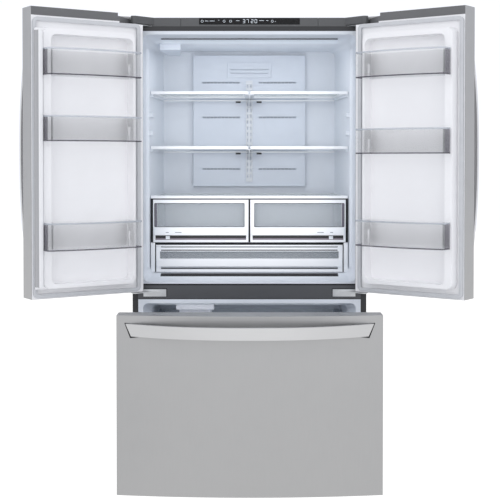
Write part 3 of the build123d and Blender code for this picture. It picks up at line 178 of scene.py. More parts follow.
class Graph:
    """A node graph, all of whose nodes come from one method."""

    def __init__(self, tree: bpy.types.NodeTree) -> None:
        """Empties a node tree to start from."""
        self.tree = tree
        tree.nodes.clear()

    def _feed(self, socket: bpy.types.NodeSocket, value: object) -> None:
        """Links or sets one input socket.

        Args:
            socket: The socket.
            value: A value over the surface, an output socket, or a plain number, colour or vector.
        """
        if isinstance(value, Value):
            value = value.socket
        if isinstance(value, bpy.types.NodeSocket):
            self.tree.links.new(value, socket)
        elif socket.type == "RGBA" and len(value) == 3:
            socket.default_value = (*value, 1.0)
        else:
            socket.default_value = value

    def node(self, kind: str, settings: dict | None = None, inputs: dict | None = None) -> bpy.types.Node:
        """Adds any node.

        Args:
            kind: The node's type.
            settings: Attributes, which are set first.
            inputs: Socket name or number to a value or a link.

        Returns:
            The new node.
        """
        made = self.tree.nodes.new(kind)
        for name, value in (settings or {}).items():
            setattr(made, name, value)
        for name, value in (inputs or {}).items():
            self._feed(made.inputs[name], value)
        return made

    def place(self, stretch: Point = UNIT) -> bpy.types.NodeSocket:
        """Returns object coordinates, with each axis scaled before a pattern reads it."""
        source = self.node("ShaderNodeTexCoord").outputs["Object"]
        return self.node("ShaderNodeMapping", None, {"Vector": source, "Scale": stretch}).outputs[0]

    def axes(self) -> tuple[Value, Value, Value]:
        """Returns the object coordinates one by one."""
        apart = self.node("ShaderNodeSeparateXYZ", None, {0: self.place()}).outputs
        return Value(self, apart[0]), Value(self, apart[1]), Value(self, apart[2])

    def noise(self, scale: float, detail: float = 3.0, stretch: Point = UNIT, rough: float = 0.5) -> Value:
        """Returns a noise of about 0 to 1, from its features to the metre and its octaves."""
        inputs = {"Vector": self.place(stretch), "Scale": scale, "Detail": detail, "Roughness": rough}
        return Value(self, self.node("ShaderNodeTexNoise", None, inputs).outputs[0])

    def mix(self, factor: object, low: object, high: object) -> bpy.types.NodeSocket:
        """Returns a colour between two, low where the factor is 0 and high where it is 1."""
        settings = {"data_type": "RGBA", "clamp_factor": True}
        return self.node("ShaderNodeMix", settings, {0: factor, 6: low, 7: high}).outputs[2]

    def bump(self, height: Value, strength: float, depth: float) -> bpy.types.NodeSocket:
        """Returns a normal from a height of about 0 to 1, its strength, and its relief in metres."""
        inputs = {"Height": height, "Strength": strength, "Distance": depth}
        return self.node("ShaderNodeBump", None, inputs).outputs[0]

    def seen(self) -> Value:
        """Returns 1 or more to the camera, to reflections and through glass, else 0."""
        path = self.node("ShaderNodeLightPath").outputs
        return Value(self, path["Is Camera Ray"]) + path["Is Glossy Ray"] + path["Is Transmission Ray"]


class Surface(Graph):
    """The node graph of one material, around a single Principled shader."""

    def __init__(self, name: str) -> None:
        """Makes a material with its shader and output.

        Args:
            name: The material's name.
        """
        self.material = bpy.data.materials.new(name)
        self.material.use_nodes = True
        super().__init__(self.material.node_tree)
        self.output = self.node("ShaderNodeOutputMaterial")
        self.shader = self.node("ShaderNodeBsdfPrincipled")
        self._feed(self.output.inputs[0], self.shader.outputs[0])

    def shade(self, **sockets: object) -> None:
        """Feeds the shader's sockets, named with underscores for spaces."""
        for name, value in sockets.items():
            self._feed(self.shader.inputs[name.replace("_", " ")], value)

    def colour(self) -> bpy.types.NodeSocket:
        """Returns what feeds the shader's colour."""
        return self.shader.inputs["Base Color"].links[0].from_socket

    def seen_white(self, strength: float, share: float) -> None:
        """Makes the surface mostly white to the camera, to reflections and through glass.

        Args:
            strength: Strength of the white, where 1 is white.
            share: How much of what is seen is that white; the rest takes light and shadow.
        """
        factor = self.seen() * share
        white = self.node("ShaderNodeEmission", None, {"Color": UNIT, "Strength": strength})
        inputs = {0: factor, 1: self.shader.outputs[0], 2: white.outputs[0]}
        both = self.node("ShaderNodeMixShader", None, inputs)
        self._feed(self.output.inputs[0], both.outputs[0])


class Sky(Graph):
    """The world's graph: pale light on the object, and white where it is seen."""

    def __init__(self, colour: Colour, ambient: float, white: float) -> None:
        """Makes the world.

        Args:
            colour: Colour of its light.
            ambient: Strength of the light that falls on the object.
            white: Strength of what the camera and the reflections see.
        """
        world = bpy.data.worlds.new("studio")
        world.use_nodes = True
        bpy.context.scene.world = world
        super().__init__(world.node_tree)
        inputs = {0: self.seen(), 2: ambient, 3: white}
        strength = self.node("ShaderNodeMix", {"data_type": "FLOAT"}, inputs).outputs[0]
        sky = self.node("ShaderNodeBackground", None, {"Color": colour, "Strength": strength})
        self.node("ShaderNodeOutputWorld", None, {0: sky.outputs[0]})


# ---------------------------------------------------------------------- finishes
def tone(colour: Colour, share: float) -> Colour:
    """Returns a colour made lighter or darker by a share."""
    return tuple(min(1.0, part * share) for part in colour)


@dataclass(frozen=True)
class Finish:
    """A surface's finish, which turns into one material.

    Its patterns are given as (features to the metre, octaves), its reliefs as (strength,
    metres), and its tints as shares of its colour.
    """

    name: str
    slot: str
    colour: Colour
    rough: float = 0.4

    def material(self) -> bpy.types.Material:
        """Returns the finish's material, which is made on first use.

        Returns:
            The material, under a name that no frame material has.
        """
        title = f"finish_{self.name}"
        made = bpy.data.materials.get(title)
        if made is None:
            surface = Surface(title)
            self.dress(surface)
            made = surface.material
        return made

    def tint(self, graph: Surface, factor: object, shares: Flat) -> bpy.types.NodeSocket:
        """Returns the finish's colour, varied between two shares of it by a factor."""
        low, high = shares
        return graph.mix(factor, tone(self.colour, low), tone(self.colour, high))

    def dress(self, graph: Surface) -> None:
        """Fills the material's graph."""
        raise NotImplementedError


@dataclass(frozen=True)
class Brushed(Finish):
    """Brushed or ground metal with a fine directional grain and faint handling marks."""

    grain: Grain = Grain.UPRIGHT
    lines: float = 1400.0
    depth: float = 0.00004
    metallic: float = 1.0
    broad: Flat = (6.0, 2.0)
    smudge: Flat = (18.0, 4.0)
    tints: Flat = (0.93, 1.06)
    shade: float = 0.90
    strength: float = 0.35

    def dress(self, graph: Surface) -> None:
        """Fills the graph: long grain lines, broad tone changes, faint smudges.

        Args:
            graph: The new material's graph.
        """
        fine = graph.noise(self.lines, 2.0, self.grain.value, 0.6)
        broad = graph.noise(*self.broad)
        smudge = graph.noise(*self.smudge) ** 3.0
        grained = self.tint(graph, fine, self.tints)
        graph.shade(
            Base_Color=graph.mix(broad * 0.25, grained, tone(self.colour, self.shade)),
            Metallic=self.metallic,
            Roughness=fine * 0.10 + smudge * 0.16 + (self.rough - 0.07),
            Normal=graph.bump(fine, self.strength, self.depth),
        )


@dataclass(frozen=True)
class Coated(Finish):
    """Coated or painted sheet metal with a slight orange peel."""

    metallic: float = 0.0
    coat: float = 0.15
    coat_rough: float = 0.3
    peel: Flat = (320.0, 2.0)
    broad: Flat = (4.0, 3.0)
    dust: Flat = (60.0, 5.0)
    tints: Flat = (0.94, 1.05)
    uneven: float = 0.12
    relief: Flat = (0.12, 0.0004)

    def dress(self, graph: Surface) -> None:
        """Fills the graph: orange peel, slow tone changes, dust in the gloss.

        Args:
            graph: The new material's graph.
        """
        peel, broad, dust = graph.noise(*self.peel), graph.noise(*self.broad), graph.noise(*self.dust)
        graph.shade(
            Base_Color=self.tint(graph, broad, self.tints),
            Metallic=self.metallic,
            Roughness=dust * self.uneven + (self.rough - self.uneven / 2),
            Coat_Weight=self.coat,
            Coat_Roughness=self.coat_rough,
            Normal=graph.bump(peel, *self.relief),
        )


@dataclass(frozen=True)
class Moulded(Finish):
    """Moulded or vacuum-formed plastic with a fine leather or spark texture."""

    relief: float = 0.10
    depth: float = 0.0005
    cloud: float = 0.03
    pores: Flat = (900.0, 3.0)
    waves: Flat = (9.0, 1.0)
    clouds: Flat = (14.0, 4.0)
    gloss: float = 0.5

    def dress(self, graph: Surface) -> None:
        """Fills the graph: fine pores, slow waves of the formed sheet, slight clouding.

        Args:
            graph: The new material's graph.
        """
        pores, waves, cloud = graph.noise(*self.pores), graph.noise(*self.waves), graph.noise(*self.clouds)
        height = pores * 0.75 + waves * 0.25
        graph.shade(
            Base_Color=self.tint(graph, cloud, (1.0 - self.cloud, 1.0 + self.cloud)),
            Roughness=pores * 0.10 + cloud * 0.06 + (self.rough - 0.08),
            Specular_IOR_Level=self.gloss,
            Normal=graph.bump(height, self.relief, self.depth),
        )


@dataclass(frozen=True)
class Grooved(Moulded):
    """Moulded plastic with painted shade deep in its grooves, as rows of (foot, top, colour) in height.

    What lies behind a place along Y is inside a groove.
    """

    behind: float = 0.0
    bands: tuple[tuple[float, float, Colour], ...] = ()

    def dress(self, graph: Surface) -> None:
        """Fills the graph: the moulded skin, with painted shade deep in each band.

        Args:
            graph: The new material's graph.
        """
        super().dress(graph)
        _, depth, height = graph.axes()
        colour = graph.colour()
        # Painted shade: each band deep in a groove is darkened to its shade colour.
        for foot, top, shade in self.bands:
            inside = depth.above(self.behind) * height.between(foot, top)
            colour = graph.mix(inside, colour, shade)
        graph.shade(Base_Color=colour)


@dataclass(frozen=True)
class Lined(Moulded):
    """Moulded bar with pale sides and a grey outer face, which has fine lines along its height.

    The direction across the face is given in plan, and the lines as (start, end) along it.
    The face is what lies further than a given distance along its normal.
    """

    across: Flat = (0.552, -0.834)
    face: float = 0.824
    grey: Colour = (0.43, 0.43, 0.44)
    line: Colour = (0.17, 0.17, 0.18)
    lines: tuple[Flat, ...] = ((-0.1345, -0.1325), (-0.1215, -0.1200), (-0.1115, -0.1095))

    def dress(self, graph: Surface) -> None:
        """Fills the graph: the moulded skin, grey on its outer face, darker in each line.

        Args:
            graph: The new material's graph.
        """
        super().dress(graph)
        x, y, _ = graph.axes()
        cosine, sine = self.across
        run = x * cosine + y * sine
        outside = (x * sine + y * -cosine).above(self.face)
        colour = graph.mix(outside, graph.colour(), self.grey)
        for start, end in self.lines:
            colour = graph.mix(outside * run.between(start, end), colour, self.line)
        graph.shade(Base_Color=colour)


@dataclass(frozen=True)
class Clear(Finish):
    """Clear or frosted plastic or glass: its edges and grazing faces look denser."""

    edge: Colour = (0.35, 0.40, 0.44)
    film: float = 0.12
    density: float = 0.55
    frost: float = 0.0
    bend: float = 1.49
    blend: float = 0.35
    haze: Flat = (22.0, 3.0)
    flow: tuple[float, float, Point] = (7.0, 2.0, (1.0, 1.0, 6.0))
    relief: Flat = (0.05, 0.0008)

    def dress(self, graph: Surface) -> None:
        """Fills the graph: opacity from the facing angle, faint haze and mould flow lines.

        Args:
            graph: The new material's graph.
        """
        facing = graph.node("ShaderNodeLayerWeight", None, {"Blend": self.blend}).outputs[1]
        haze, flow = graph.noise(*self.haze), graph.noise(*self.flow)
        rim = Value(graph, facing) ** 2.2
        graph.shade(
            Base_Color=graph.mix(rim, self.colour, self.edge),
            Roughness=haze * 0.05 + (self.rough + self.frost - 0.02),
            IOR=self.bend,
            Alpha=rim * self.density + haze * 0.03 + (self.film + self.frost),
            Normal=graph.bump(flow, *self.relief),
        )


@dataclass(frozen=True)
class Rubber(Finish):
    """Soft vinyl or rubber, matt, with chalky high spots."""

    skin: Flat = (700.0, 3.0)
    bloom: Flat = (35.0, 4.0)
    tints: Flat = (0.92, 1.05)
    uneven: float = 0.12
    relief: Flat = (0.15, 0.0004)

    def dress(self, graph: Surface) -> None:
        """Fills the graph: matt skin with a chalky bloom.

        Args:
            graph: The new material's graph.
        """
        skin, bloom = graph.noise(*self.skin), graph.noise(*self.bloom)
        graph.shade(
            Base_Color=self.tint(graph, bloom, self.tints),
            Roughness=skin * self.uneven + (self.rough - self.uneven / 2),
            Normal=graph.bump(skin, *self.relief),
        )


@dataclass(frozen=True)
class Glow(Finish):
    """Opal or printed marks that give off light."""

    light: float = 1.0
    even: Flat = (40.0, 2.0)
    tints: Flat = (0.95, 1.0)

    def dress(self, graph: Surface) -> None:
        """Fills the graph: an even glow with slight unevenness of the diffuser.

        Args:
            graph: The new material's graph.
        """
        colour = self.tint(graph, graph.noise(*self.even), self.tints)
        graph.shade(
            Base_Color=colour, Roughness=self.rough, Emission_Color=colour, Emission_Strength=self.light
        )


@dataclass(frozen=True)
class Polished(Finish):
    """Polished black glass under a clear coat, with faint dust."""

    dust: Flat = (260.0, 4.0)
    dust_colour: Colour = (0.20, 0.20, 0.21)
    gloss: float = 0.12
    coat: float = 0.15
    coat_rough: float = 0.05

    def dress(self, graph: Surface) -> None:
        """Fills the graph: deep colour, mirror coat, sparse dust.

        Args:
            graph: The new material's graph.
        """
        dust = graph.noise(*self.dust) ** 6.0
        graph.shade(
            Base_Color=graph.mix(dust, self.colour, self.dust_colour),
            Roughness=dust * 0.3 + self.rough,
            Specular_IOR_Level=self.gloss,
            Coat_Weight=self.coat,
            Coat_Roughness=self.coat_rough,
        )


@dataclass(frozen=True)
class Spangled(Finish):
    """Galvanised sheet with its crystal spangle."""

    crystals: float = 90.0
    metallic: float = 0.85
    tints: Flat = (0.86, 1.08)
    relief: Flat = (0.08, 0.0003)

    def dress(self, graph: Surface) -> None:
        """Fills the graph: crystal cells that differ in tone and gloss.

        Args:
            graph: The new material's graph.
        """
        inputs = {"Vector": graph.place(), "Scale": self.crystals}
        cells = graph.node("ShaderNodeTexVoronoi", {"feature": "F1"}, inputs)
        grey = graph.node("ShaderNodeRGBToBW", None, {0: cells.outputs["Color"]})
        crystal = Value(graph, grey.outputs[0])
        graph.shade(
            Base_Color=self.tint(graph, crystal, self.tints),
            Metallic=self.metallic,
            Roughness=crystal * 0.18 + (self.rough - 0.05),
            Normal=graph.bump(crystal, *self.relief),
        )


@dataclass(frozen=True)
class Foam(Finish):
    """Closed-cell insulation foam."""

    cells: Flat = (450.0, 4.0)
    age: Flat = (8.0, 3.0)
    tints: Flat = (1.0, 0.82)
    relief: Flat = (0.5, 0.001)

    def dress(self, graph: Surface) -> None:
        """Fills the graph: open skin cells and yellowing.

        Args:
            graph: The new material's graph.
        """
        cells, age = graph.noise(*self.cells), graph.noise(*self.age)
        graph.shade(
            Base_Color=self.tint(graph, age, self.tints),
            Roughness=self.rough,
            Normal=graph.bump(cells, *self.relief),
        )


STAINLESS = Brushed("stainless_skin", "stainless", (0.41, 0.41, 0.412), 0.38)
GRIP_STEEL = Brushed("handle_steel", "handle_steel", (0.57, 0.57, 0.573), 0.34, Grain.LEVEL, depth=0.00001)
# Painted highlight: a lighter, less metallic copy of the handle steel for the door handles, so their sides
# look lit instead of reflecting dark.
DOOR_GRIP_STEEL_LIT = Brushed(
    "door_handle_steel", "handle_steel", (0.68, 0.68, 0.685), 0.36, depth=0.00001, metallic=0.7
)
CASE_PAINT = Coated("case_coat", "case_paint", (0.028, 0.029, 0.031), 0.42, 0.3)
RAIL_PAINT = Coated("rail_coat", "case_paint", (0.085, 0.088, 0.095), 0.40, 0.3)
REAR_SHEET = Spangled("rear_zinc_sheet", "rear_sheet", (0.55, 0.56, 0.57), 0.42)
BASE_STEEL = Coated("base_coat", "base_steel", (0.045, 0.047, 0.05), 0.5)
ROOM_WHITE = Moulded("room_liner", "liner_white", (0.80, 0.84, 0.90), 0.34, relief=0.05)
DOOR_WHITE = Moulded("door_liner", "door_liner_white", (0.96, 0.955, 0.965), 0.36, relief=0.05)
CAP_GREY = Moulded("door_cap_grey", "cap_grey", (0.145, 0.146, 0.15), 0.5)
HEADER_GREY = Moulded("header_grey", "header_grey", (0.100, 0.102, 0.105), 0.5)
FLAP_GREY = Lined("flap_grey", "header_grey", (0.90, 0.90, 0.91), 0.45)
MAKER_WHITE = Moulded("ice_maker_white", "header_grey", (0.86, 0.88, 0.94), 0.4)
DARK = Moulded("dark_moulding", "dark_plastic", (0.018, 0.018, 0.020), 0.5)
PANEL_BLACK = Polished("panel_black", "panel_glass", (0.003, 0.003, 0.0035), 0.08)
BIN_CLEAR = Clear("bin_clear", "clear_plastic", (0.95, 0.96, 0.98), 0.08, film=0.035, density=0.28)
DRAWER_CLEAR = Clear("drawer_clear", "crisper_clear", (0.80, 0.86, 0.92), 0.12, frost=0.10)
PANE = Clear("shelf_pane", "shelf_pane", (0.86, 0.93, 0.95), 0.05, edge=(0.30, 0.46, 0.44), film=0.10)
TRIM_WHITE = Moulded("trim_white", "trim_white", (0.90, 0.92, 0.95), 0.32, relief=0.05)
# Painted shade: a darker, bluer copy of the trim white for the duct at the back of the room.
DUCT_WHITE_SHADED = Moulded("duct_white", "trim_white", (0.72, 0.77, 0.85), 0.36, relief=0.05)
# Painted shade: the finger slot under the white band is near black, with a dull purple-grey strip below it.
CRISPER_FACE = Grooved(
    "crisper_face",
    "trim_white",
    (0.90, 0.92, 0.95),
    0.32,
    relief=0.05,
    behind=0.1295,
    bands=((0.9095, 0.923, (0.012, 0.011, 0.014)), (0.9035, 0.9095, (0.30, 0.26, 0.31))),
)
# Painted shade: the groove across the pantry front is dark at its foot and pale grey above.
PANTRY_FACE = Grooved(
    "pantry_face",
    "trim_white",
    (0.90, 0.92, 0.95),
    0.32,
    relief=0.05,
    behind=0.1275,
    bands=((0.7875, 0.7918, (0.07, 0.075, 0.09)), (0.7918, 0.798, (0.62, 0.65, 0.70))),
)
# Painted shade: a dark copy of the crisper's clear plastic for the pane over each window's outer end.
CRISPER_END_SHADE = Clear("crisper_smoke", "crisper_clear", (0.14, 0.13, 0.17), 0.15, edge=(0.08, 0.07, 0.10), film=0.72)
POWDER_WHITE = Coated("powder_white", "rail_white", (0.78, 0.81, 0.85), 0.45)
LENS = Glow("light_lens", "lens_white", (0.78, 0.83, 0.90), 0.4, light=0.05)
SEAL_GREY = Rubber("seal_grey", "gasket_grey", (0.62, 0.63, 0.65), 0.62)
FOAM = Foam("foam", "foam", (0.80, 0.72, 0.48), 0.9)
ZINC = Brushed("zinc_plate", "zinc", (0.66, 0.67, 0.68), 0.32, Grain.LEVEL, 900.0)
SLIDE_STEEL = Brushed("slide_steel", "slide_steel", (0.70, 0.71, 0.72), 0.30, Grain.FORE_AND_AFT, 900.0)
BLACK_RUBBER = Rubber("foot_rubber", "rubber_black", (0.03, 0.03, 0.03), 0.75)
ROLLER = Moulded("roller_grey", "roller_grey", (0.05, 0.05, 0.053), 0.4)
MACHINE = Coated("machine_black", "machine_black", (0.02, 0.02, 0.022), 0.4, coat=0.4)
SLIDER = Moulded("slider_white", "slider_grey", (0.84, 0.87, 0.91), 0.35)
MARKS = Glow("panel_marks", "lens_white", (0.70, 0.75, 0.80), 0.5, light=0.25)
BIN_RIM = Clear("bin_rim", "clear_plastic", (0.66, 0.70, 0.76), 0.10, film=0.50, density=0.4)
# Painted shade: dark copies of the bin's clear plastic for its foot bead and its free end wall.
BIN_FOOT_SHADE = Clear("bin_foot", "clear_plastic", (0.10, 0.09, 0.12), 0.14, edge=(0.05, 0.05, 0.07), film=0.58)
BIN_END_SHADE = Clear("bin_end", "clear_plastic", (0.18, 0.16, 0.20), 0.12, edge=(0.10, 0.09, 0.12), film=0.25)
# Painted shade: near-black matt finish for bars, lines and pads laid where gaps and recesses are in shade.
PAINTED_GAP_SHADE = Rubber("gap_black", "dark_plastic", (0.010, 0.010, 0.012), 0.75)
# Painted shade: a grey copy of the slider plastic for flat marks standing for the crisper vent slots.
VENT_SHADE_GREY = Moulded("vent_grey", "slider_grey", (0.24, 0.26, 0.30), 0.5)
# Painted shade: a grey copy of the trim white for the backs deep in the duct's air ports.
PORT_SHADE_GREY = Moulded("port_grey", "trim_white", (0.56, 0.60, 0.67), 0.5)
CLIP_BLACK = Moulded("clip_black", "dark_plastic", (0.02, 0.02, 0.024), 0.4)

NODE_FINISHES: dict[str, Finish] = {
    "air_duct": DUCT_WHITE_SHADED,
    "base_frame": BASE_STEEL,
    "case_wrap": CASE_PAINT,
    "condenser_fan": DARK,
    "control_panel": PANEL_BLACK,
    "crisper_frame": TRIM_WHITE,
    "crisper_left": DRAWER_CLEAR,
    "crisper_left_front": CRISPER_FACE,
    "crisper_right": DRAWER_CLEAR,
    "crisper_right_front": CRISPER_FACE,
    "door_flap": FLAP_GREY,
    "drawer_foam": FOAM,
    "drawer_gasket": SEAL_GREY,
    "drawer_handle": GRIP_STEEL,
    "drawer_liner": DOOR_WHITE,
    "drawer_skin": STAINLESS,
    "freezer_basket": POWDER_WHITE,
    "freezer_liner": ROOM_WHITE,
    "freezer_tray": DRAWER_CLEAR,
    "fridge_liner": ROOM_WHITE,
    "front_feet": BLACK_RUBBER,
    "humidity_slider_left": SLIDER,
    "humidity_slider_right": SLIDER,
    "ice_maker": MAKER_WHITE,
    "insulation": FOAM,
    "light_lens": LENS,
    "mid_hinges": ZINC,
    "mid_rail": RAIL_PAINT,
    "pantry_drawer": DRAWER_CLEAR,
    "pantry_front": PANTRY_FACE,
    "rear_panel": REAR_SHEET,
    "rear_rollers": ROLLER,
    "refrigeration_unit": MACHINE,
    "service_covers": DARK,
    "shelf_frames": TRIM_WHITE,
    "shelf_glass": PANE,
    "shelf_ladder": POWDER_WHITE,
    "slide_bars": SLIDE_STEEL,
    "slide_channels": SLIDE_STEEL,
    "slide_middles": SLIDE_STEEL,
    "top_covers": HEADER_GREY,
    "top_hinges": ZINC,
}
DOOR_FINISHES: dict[str, Finish] = {
    "door_skin": STAINLESS,
    "door_liner": DOOR_WHITE,
    "door_foam": FOAM,
    "door_gasket": SEAL_GREY,
    "door_caps": CAP_GREY,
    "door_handle": DOOR_GRIP_STEEL_LIT,
    "bin_top": BIN_CLEAR,
    "bin_middle": BIN_CLEAR,
    "bin_low": BIN_CLEAR,
}

BIN_LEVELS = ("top", "middle", "low")
WELD_GAP = 0.00002
FLAT_ANGLE = math.radians(0.1)
ROUNDING = 0.0006
NODE_ROUNDING: dict[str, float] = {
    "fridge_liner": 0.0008,
    "top_covers": 0.0025,
    "drawer_handle": 0.0025,
    "left_door_handle": 0.003,
    "right_door_handle": 0.003,
    "door_flap": 0.001,
}


# --------------------------------------------------------------------- modelling
class Bench:
    """Modelling moves that every sub-assembly shares."""

    sharp = math.radians(35.0)
    smooth = math.radians(40.0)
    aligned = 0.98

    @staticmethod
    def clear() -> None:
        """Leaves edit mode and deselects everything."""
        if bpy.context.mode != "OBJECT":
            bpy.ops.object.mode_set(mode="OBJECT")
        bpy.ops.object.select_all(action="DESELECT")

    @staticmethod
    def hold(piece: bpy.types.Object) -> None:
        """Selects one piece alone and makes it active.

        Args:
            piece: The piece.
        """
        Bench.clear()
        piece.select_set(True)
        bpy.context.view_layer.objects.active = piece

    @staticmethod
    def face_out() -> None:
        """Turns all faces of the piece in edit mode outwards, and leaves edit mode."""
        bpy.ops.mesh.select_all(action="SELECT")
        bpy.ops.mesh.normals_make_consistent(inside=False)
        bpy.ops.object.mode_set(mode="OBJECT")

    @staticmethod
    def modifier(piece: bpy.types.Object, kind: str, **settings: object) -> bpy.types.Modifier:
        """Adds a modifier.

        Args:
            piece: The piece that it is added to.
            kind: The modifier's type.
            **settings: Its settings by name.

        Returns:
            The modifier.
        """
        made = piece.modifiers.new(kind.lower(), kind)
        for name, value in settings.items():
            setattr(made, name, value)
        return made

    @staticmethod
    def settle(piece: bpy.types.Object, name: str, finish: Finish) -> bpy.types.Object:
        """Names a piece, puts its place into its mesh and gives it its finish.

        Args:
            piece: The new object.
            name: Its name.
            finish: Its finish.

        Returns:
            The piece.
        """
        Bench.hold(piece)
        bpy.ops.object.transform_apply(location=True, rotation=True, scale=True)
        piece.name = piece.data.name = name
        piece.data.materials.clear()
        piece.data.materials.append(finish.material())
        return piece

    @staticmethod
    def block(name: str, low: Sequence[float], high: Sequence[float], finish: Finish) -> bpy.types.Object:
        """Starts a piece as a box between two corners.

        Args:
            name: The piece's name.
            low: Lowest corner.
            high: Highest corner.
            finish: Its finish.

        Returns:
            The piece.
        """
        Bench.clear()
        low, high = Vector(low), Vector(high)
        bpy.ops.mesh.primitive_cube_add(size=1.0, location=(low + high) / 2)
        piece = bpy.context.active_object
        piece.scale = high - low
        return Bench.settle(piece, name, finish)

    @staticmethod
    def disc(
        name: str, foot: Vector, rise: Vector, radius: float, sides: int, finish: Finish
    ) -> bpy.types.Object:
        """Starts a piece as a short cylinder.

        Args:
            name: The piece's name.
            foot: Centre of one end.
            rise: From there to the centre of the other end.
            radius: Its radius.
            sides: Faces round it.
            finish: Its finish.

        Returns:
            The piece.
        """
        Bench.clear()
        bpy.ops.mesh.primitive_cylinder_add(
            vertices=sides, radius=radius, depth=rise.length, location=foot + rise / 2
        )
        piece = bpy.context.active_object
        piece.rotation_mode = "QUATERNION"
        piece.rotation_quaternion = rise.to_track_quat("Z", "Y")
        return Bench.settle(piece, name, finish)

    @staticmethod
    def outline(points: Sequence[Flat], filled: bool, normal: Axis) -> bpy.types.Object:
        """Starts a flat polygon or wire whose corners lie at given points.

        Args:
            points: Its corners in the plane across the normal, in the order of the other axes.
            filled: Whether it has a face.
            normal: The axis across its plane.

        Returns:
            The flat piece, in edit mode with everything selected.
        """
        Bench.clear()
        fill = "NGON" if filled else "NOTHING"
        bpy.ops.mesh.primitive_circle_add(vertices=len(points), fill_type=fill)
        piece = bpy.context.active_object
        bpy.ops.object.mode_set(mode="EDIT")
        mesh = bmesh.from_edit_mesh(piece.data)
        mesh.verts.ensure_lookup_table()
        for vertex, point in zip(mesh.verts, points):
            vertex.co = normal.lift(point, 0.0)
        bmesh.update_edit_mesh(piece.data)
        bpy.ops.mesh.select_all(action="SELECT")
        return piece

    @staticmethod
    def prism(
        name: str, points: Sequence[Flat], start: float, end: float, finish: Finish, normal: Axis = Axis.Y
    ) -> bpy.types.Object:
        """Models a prism over an outline.

        Args:
            name: The piece's name.
            points: The outline's corners.
            start: Where it starts along the normal.
            end: Where it ends.
            finish: Its finish.
            normal: The axis that it runs along.

        Returns:
            The piece.
        """
        piece = Bench.outline(points, True, normal)
        bpy.ops.transform.translate(value=normal.lift((0.0, 0.0), start))
        step = normal.lift((0.0, 0.0), end - start)
        bpy.ops.mesh.extrude_region_move(TRANSFORM_OT_translate={"value": step})
        Bench.face_out()
        return Bench.settle(piece, name, finish)

    @staticmethod
    def ribbon(
        name: str,
        points: Sequence[Flat],
        span: Flat,
        thickness: float,
        finish: Finish,
        normal: Axis,
        closed: bool = False,
    ) -> bpy.types.Object:
        """Models a wall that stands on a path.

        Args:
            name: The piece's name.
            points: The path, of three points or more.
            span: Where the wall starts and ends along the normal.
            thickness: Its thickness, half to each side of the path.
            finish: Its finish.
            normal: The axis that it stands along.
            closed: Whether the path is a loop.

        Returns:
            The piece.
        """
        piece = Bench.outline(points, False, normal)
        if not closed:
            mesh = bmesh.from_edit_mesh(piece.data)
            mesh.verts.ensure_lookup_table()
            ends = {mesh.verts[0], mesh.verts[-1]}
            for edge in mesh.edges:
                edge.select_set(set(edge.verts) == ends)
            bpy.ops.mesh.delete(type="EDGE")
            bpy.ops.mesh.select_all(action="SELECT")
        start, end = span
        bpy.ops.transform.translate(value=normal.lift((0.0, 0.0), start))
        step = normal.lift((0.0, 0.0), end - start)
        bpy.ops.mesh.extrude_edges_move(TRANSFORM_OT_translate={"value": step})
        bpy.ops.object.mode_set(mode="OBJECT")
        Bench.settle(piece, name, finish)
        wall = Bench.modifier(piece, "SOLIDIFY", thickness=thickness, offset=0.0, use_even_offset=True)
        bpy.ops.object.modifier_apply(modifier=wall.name)
        bpy.ops.object.mode_set(mode="EDIT")
        Bench.face_out()
        return piece

    @staticmethod
    def hollow(piece: bpy.types.Object, facing: Vector, rim: float, depth: float) -> bpy.types.Object:
        """Sinks the face of a piece that looks one way, inside a rim.

        Args:
            piece: The piece.
            facing: The way that the face looks.
            rim: Width of the rim that stays.
            depth: How deep the face sinks.

        Returns:
            The piece.
        """
        Bench.pick(piece, lambda centre, normal: normal.dot(facing) > Bench.aligned)
        bpy.ops.mesh.inset(thickness=rim)
        bpy.ops.mesh.extrude_region_move(TRANSFORM_OT_translate={"value": facing * -depth})
        bpy.ops.object.mode_set(mode="OBJECT")
        return piece

    @staticmethod
    def copies(piece: bpy.types.Object, steps: Iterable[Sequence[float]]) -> bpy.types.Object:
        """Copies a piece by each step and joins the copies to it.

        Args:
            piece: The piece.
            steps: How far each copy stands from it.

        Returns:
            The joined piece.
        """
        pieces = [piece]
        for step in steps:
            Bench.hold(piece)
            bpy.ops.object.duplicate()
            twin = bpy.context.active_object
            bpy.ops.transform.translate(value=Vector(step))
            bpy.ops.object.transform_apply(location=True, rotation=False, scale=False)
            pieces.append(twin)
        return Bench.join(piece.name, pieces)

    @staticmethod
    def pick(piece: bpy.types.Object, test: Callable[[Vector, Vector], bool]) -> None:
        """Enters edit mode with only the faces selected that pass a test.

        Args:
            piece: The piece.
            test: Takes a face's centre and normal.
        """
        Bench.hold(piece)
        bpy.ops.object.mode_set(mode="EDIT")
        bpy.ops.mesh.select_mode(type="FACE")
        bpy.ops.mesh.select_all(action="DESELECT")
        mesh = bmesh.from_edit_mesh(piece.data)
        for face in mesh.faces:
            face.select_set(test(face.calc_center_median(), face.normal))
        bmesh.update_edit_mesh(piece.data)

    @staticmethod
    def soften(piece: bpy.types.Object, width: float, segments: int = 2) -> bpy.types.Object:
        """Rounds a piece's sharp edges, applies that, and shades it smooth by angle.

        Args:
            piece: The piece.
            width: Width of the rounding in metres.
            segments: Faces across it.

        Returns:
            The piece.
        """
        Bench.hold(piece)
        settings = {"limit_method": "ANGLE", "angle_limit": Bench.sharp}
        bevel = Bench.modifier(piece, "BEVEL", width=width, segments=segments, **settings)
        bpy.ops.object.modifier_apply(modifier=bevel.name)
        bpy.ops.object.shade_smooth_by_angle(angle=Bench.smooth)
        return piece

